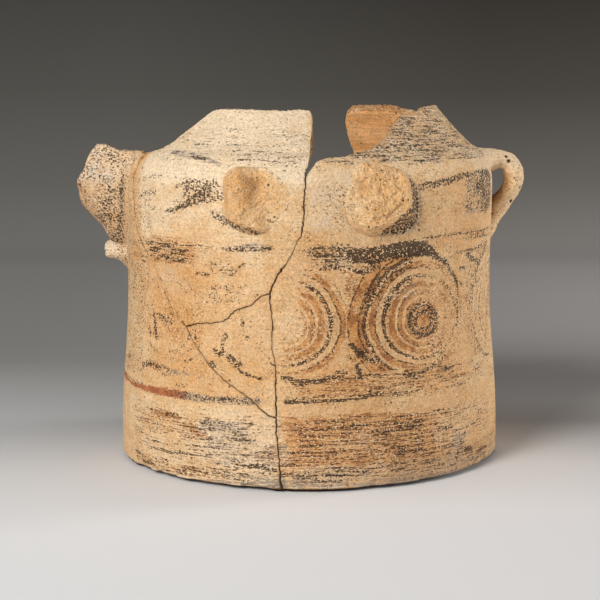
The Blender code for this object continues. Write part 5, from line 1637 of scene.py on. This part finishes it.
def stump_mesh(name, centre, half, dome, face, dips, tints, seed):
    """A root as a low dome cut off by its broken face, given as its height at the middle and two slopes."""
    share = np.linspace(0, 1, STUMP_RINGS + 1)[1:, None] ** 0.9
    turn = np.linspace(0, 2 * math.pi, STUMP_STEPS, endpoint=False)[None]
    square = (np.abs(np.cos(turn)) ** 2.5 + np.abs(np.sin(turn)) ** 2.5) ** (-1 / 2.5)
    wobble = 1 + 0.06 * np.sin(turn * 3 + seed) + 0.04 * np.sin(turn * 5 + 2 * seed)
    u = half[0] * share * square * wobble * np.cos(turn)
    v = half[1] * share * square * wobble * np.sin(turn)
    spots = np.stack([u, v, np.full_like(u, seed * 9.0)], axis=-1).reshape(-1, 3)

    def uneven(scale):
        return np.array([lumps(Vector(p) * scale, 3) for p in spots]).reshape(u.shape)

    edge = unit(share + (0.10 * uneven(0.22) + 0.05 * uneven(0.6)) * (1 - share))
    rounded = dome * (1 - edge ** 2.3) ** 0.9 + 0.4 * uneven(0.12) * (1 - share)
    snapped = face[0] + face[1] * u + face[2] * v - hills(u, v, dips)
    for scale, size in BREAK_GRAIN:
        snapped = snapped + size * uneven(scale)
    lowest = 0.9 * (1 - share ** 4)
    lift = np.minimum(np.maximum(snapped, lowest), np.maximum(rounded, lowest))
    lift = lift - 0.8 * unit((share - 0.95) / 0.05)
    angle = centre[0] + u / ARC
    height = centre[1] + v
    top, root = [skin_place(*np.array((*centre, out))) for out in (lift[0].mean(), -2.5)]
    mesh = capped(name, skin_place(angle, height, lift), top, root)

    # The flank is painted like the wall and the broken face is bare; the top and the root come last
    angle = np.append(angle, [centre[0]] * 2)
    height = np.append(height, [centre[1]] * 2)
    flank = unit((snapped - rounded) / 1.2 + 0.5)
    inside = unit((1 - share + 0.12 * uneven(0.35)) / (0.34 - 0.22 * flank))
    inside = np.append(inside, [1.0, 0.0])
    flank = np.append(flank, [0.0, 0.0])
    warmth = hills(u, v, tints)
    warmth = np.append(warmth, [warmth[0].mean(), 0.0])
    state = clay_state(angle, height)
    state[:, 0] += (0.40 + np.minimum(warmth, 0.3) - state[:, 0]) * inside
    # The warmest spots of the broken face are painted dark: painted shade in its hollows
    dirt_and_shade = unit(warmth - 0.25) * inside
    state[:, GRIME_AND_SHADE_CHANNEL] = np.maximum(state[:, GRIME_AND_SHADE_CHANNEL] * (1 - inside), dirt_and_shade)
    store(mesh, "slip_cover", brush_cover(angle, height) * (1 - inside * (1 - flank))[:, None])
    store(mesh, "clay_state", state)
    return mesh


stump_clay = clay_finish("stump_clay", buff=(0.785, 0.50, 0.25, 1), warm=(0.68, 0.355, 0.13, 1),
                         specks=0.10, crumbly=0.40)
for node_name, shape in STUMPS.items():
    stump = shown(node_name + "_fired", stump_mesh(node_name + "_fired", *shape))
    stump.data.materials.append(stump_clay)
    settle(stump, node_name, 55)

# FLOOR AND LIGHT. The jar stands on a pale sheet of paper that sweeps up behind it; its colour is painted
# paler at the front and darker towards its top as painted light and shade, with a painted shadow at the
# jar's right. The light is soft and comes from the upper left, with a weaker lamp at the right.

# How pale the sheet is painted, with its painted light and shade and the jar's painted shadow at the right,
# by metres that it runs behind the jar's middle, at the left and at the right
SWEEP_LIGHT_LEFT = [
    (-0.5, 0.735), (-0.13, 0.85), (-0.06, 0.775), (0.03, 0.585), (0.115, 0.465), (0.17, 0.412),
    (0.27, 0.298), (0.34, 0.29), (0.6, 0.314), (0.85, 0.333), (1.01, 0.279), (1.22, 0.185), (1.46, 0.113),
    (1.65, 0.076),
]
SWEEP_LIGHT_RIGHT = [
    (-0.5, 0.8), (-0.13, 0.82), (-0.04, 0.7), (0, 0.52), (0.065, 0.27), (0.12, 0.385), (0.2, 0.33),
    (0.3, 0.383), (0.45, 0.392), (0.6, 0.402), (0.8, 0.392), (1, 0.306), (1.22, 0.166), (1.45, 0.077),
    (1.65, 0.042),
]


def painted_light_sweep_finish():
    """Matt paper with painted light and shade, as pale along its run as the two tables say, and warmer where
    it is darker.
    """
    finish, place = new_finish("paper_sweep")
    tree = finish.node_tree
    shader = tree.nodes["Principled BSDF"]
    shader.inputs["Roughness"].default_value = 0.9
    shader.inputs["Specular IOR Level"].default_value = 0.1
    parts = lay("ShaderNodeSeparateXYZ", {0: place}).outputs
    back = sums("ADD", parts[1], parts[2])
    sides = []
    for table, cast in ((SWEEP_LIGHT_LEFT, (1.0, 1.0, 0.99)), (SWEEP_LIGHT_RIGHT, (1.02, 0.985, 0.97))):
        first, last = table[0][0], table[-1][0]
        stops = []
        for at, value in table:
            shaded = 1 - min(value / 0.5, 1)
            tint = (0.99, 1.0 - 0.07 * shaded, 1.01 - 0.20 * shaded)
            stops.append(((at - first) / (last - first), [value * a * b for a, b in zip(tint, cast)] + [1]))
        sides.append(ramp(spread(back, first, last), stops))
    colour = blend(spread(parts[0], -0.22, 0.24), *sides)
    tree.links.new(colour, shader.inputs["Base Color"])
    return finish


# The sheet's half width, its front edge, where it begins to bend, how roundly, and its top, in metres
SWEEP_HALF = 3.0
SWEEP_FRONT = -2.5
SWEEP_BEND = 0.9
SWEEP_ROUND = 0.5
SWEEP_TOP = 2.4
outline = [(SWEEP_FRONT, 0.0), (SWEEP_BEND, 0.0)]
for a in np.linspace(0.1, math.pi / 2, 16):
    outline.append((SWEEP_BEND + SWEEP_ROUND * math.sin(a), SWEEP_ROUND - SWEEP_ROUND * math.cos(a)))
outline.append((SWEEP_BEND + SWEEP_ROUND, SWEEP_TOP))
sweep_mesh = bpy.data.meshes.new("paper_sweep")
sweep_points = [(x, y, z) for x in (-SWEEP_HALF, SWEEP_HALF) for y, z in outline]
sweep_faces = [(i, i + 1, len(outline) + i + 1, len(outline) + i) for i in range(len(outline) - 1)]
sweep_mesh.from_pydata(sweep_points, [], sweep_faces)
sweep_mesh.materials.append(painted_light_sweep_finish())
sweep_mesh.shade_smooth()
sweep = shown("paper_sweep", sweep_mesh)


def soft_box(name, place, aim, size, watts, colour=(1, 1, 1)):
    """A round soft lamp at a place, aimed at another."""
    lamp = bpy.data.lights.new(name, "AREA")
    lamp.shape = "DISK"
    lamp.size = size
    lamp.energy = watts
    lamp.color = colour
    box = shown(name, lamp)
    box.location = place
    box.rotation_euler = (Vector(aim) - Vector(place)).to_track_quat("-Z", "Y").to_euler()


soft_box("key_light", (-1.0, -1.6, 1.25), (0, 0, 0.09), 0.8, 37, (1.0, 0.985, 0.96))
soft_box("left_light", (-1.7, -0.3, 0.5), (0, 0, 0.1), 1.0, 4, (1.0, 0.985, 0.96))
soft_box("right_light", (1.66, 0.5, 0.28), (0, 0, 0.08), 0.5, 23.5, (1.0, 0.97, 0.92))
soft_box("front_light", (-0.1, -1.8, 0.25), (0, 0, 0.13), 1.2, 6.5, (1.0, 0.98, 0.95))
soft_box("top_light", (0.1, 0.1, 1.6), (0, 0, 0.1), 0.9, 1)
soft_box("inside_light", (-0.03, -0.02, 0.09), (0.05, 0.07, 0.17), 0.06, 0.056, (1.0, 0.90, 0.74))
bpy.data.objects["inside_light"].visible_camera = False
world = bpy.data.worlds.new("studio")
world.use_nodes = True
background = world.node_tree.nodes["Background"]
background.inputs["Color"].default_value = (0.9, 0.92, 1.0, 1)
background.inputs["Strength"].default_value = 0.18
bpy.context.scene.world = world
bpy.context.scene.view_settings.view_transform = "Standard"

# CAMERA. It stands where the photograph was taken from, a little above the shoulder, and looks slightly
# down. Its place was found from the outline of the jar in the photo.

# Its place in metres, and its tilt and roll in radians
CAMERA_PLACE = (-0.00472, -0.870, 0.20075)
CAMERA_TILT = -0.1381
CAMERA_ROLL = -0.00349
lens = bpy.data.cameras.new("camera")
lens.lens = 98.76
lens.sensor_width = 36.0
camera = shown("camera", lens)
upright = Matrix.Rotation(math.pi / 2 + CAMERA_TILT, 4, "X")
camera.matrix_world = Matrix.Translation(CAMERA_PLACE) @ upright @ Matrix.Rotation(CAMERA_ROLL, 4, "Z")
bpy.context.scene.camera = camera
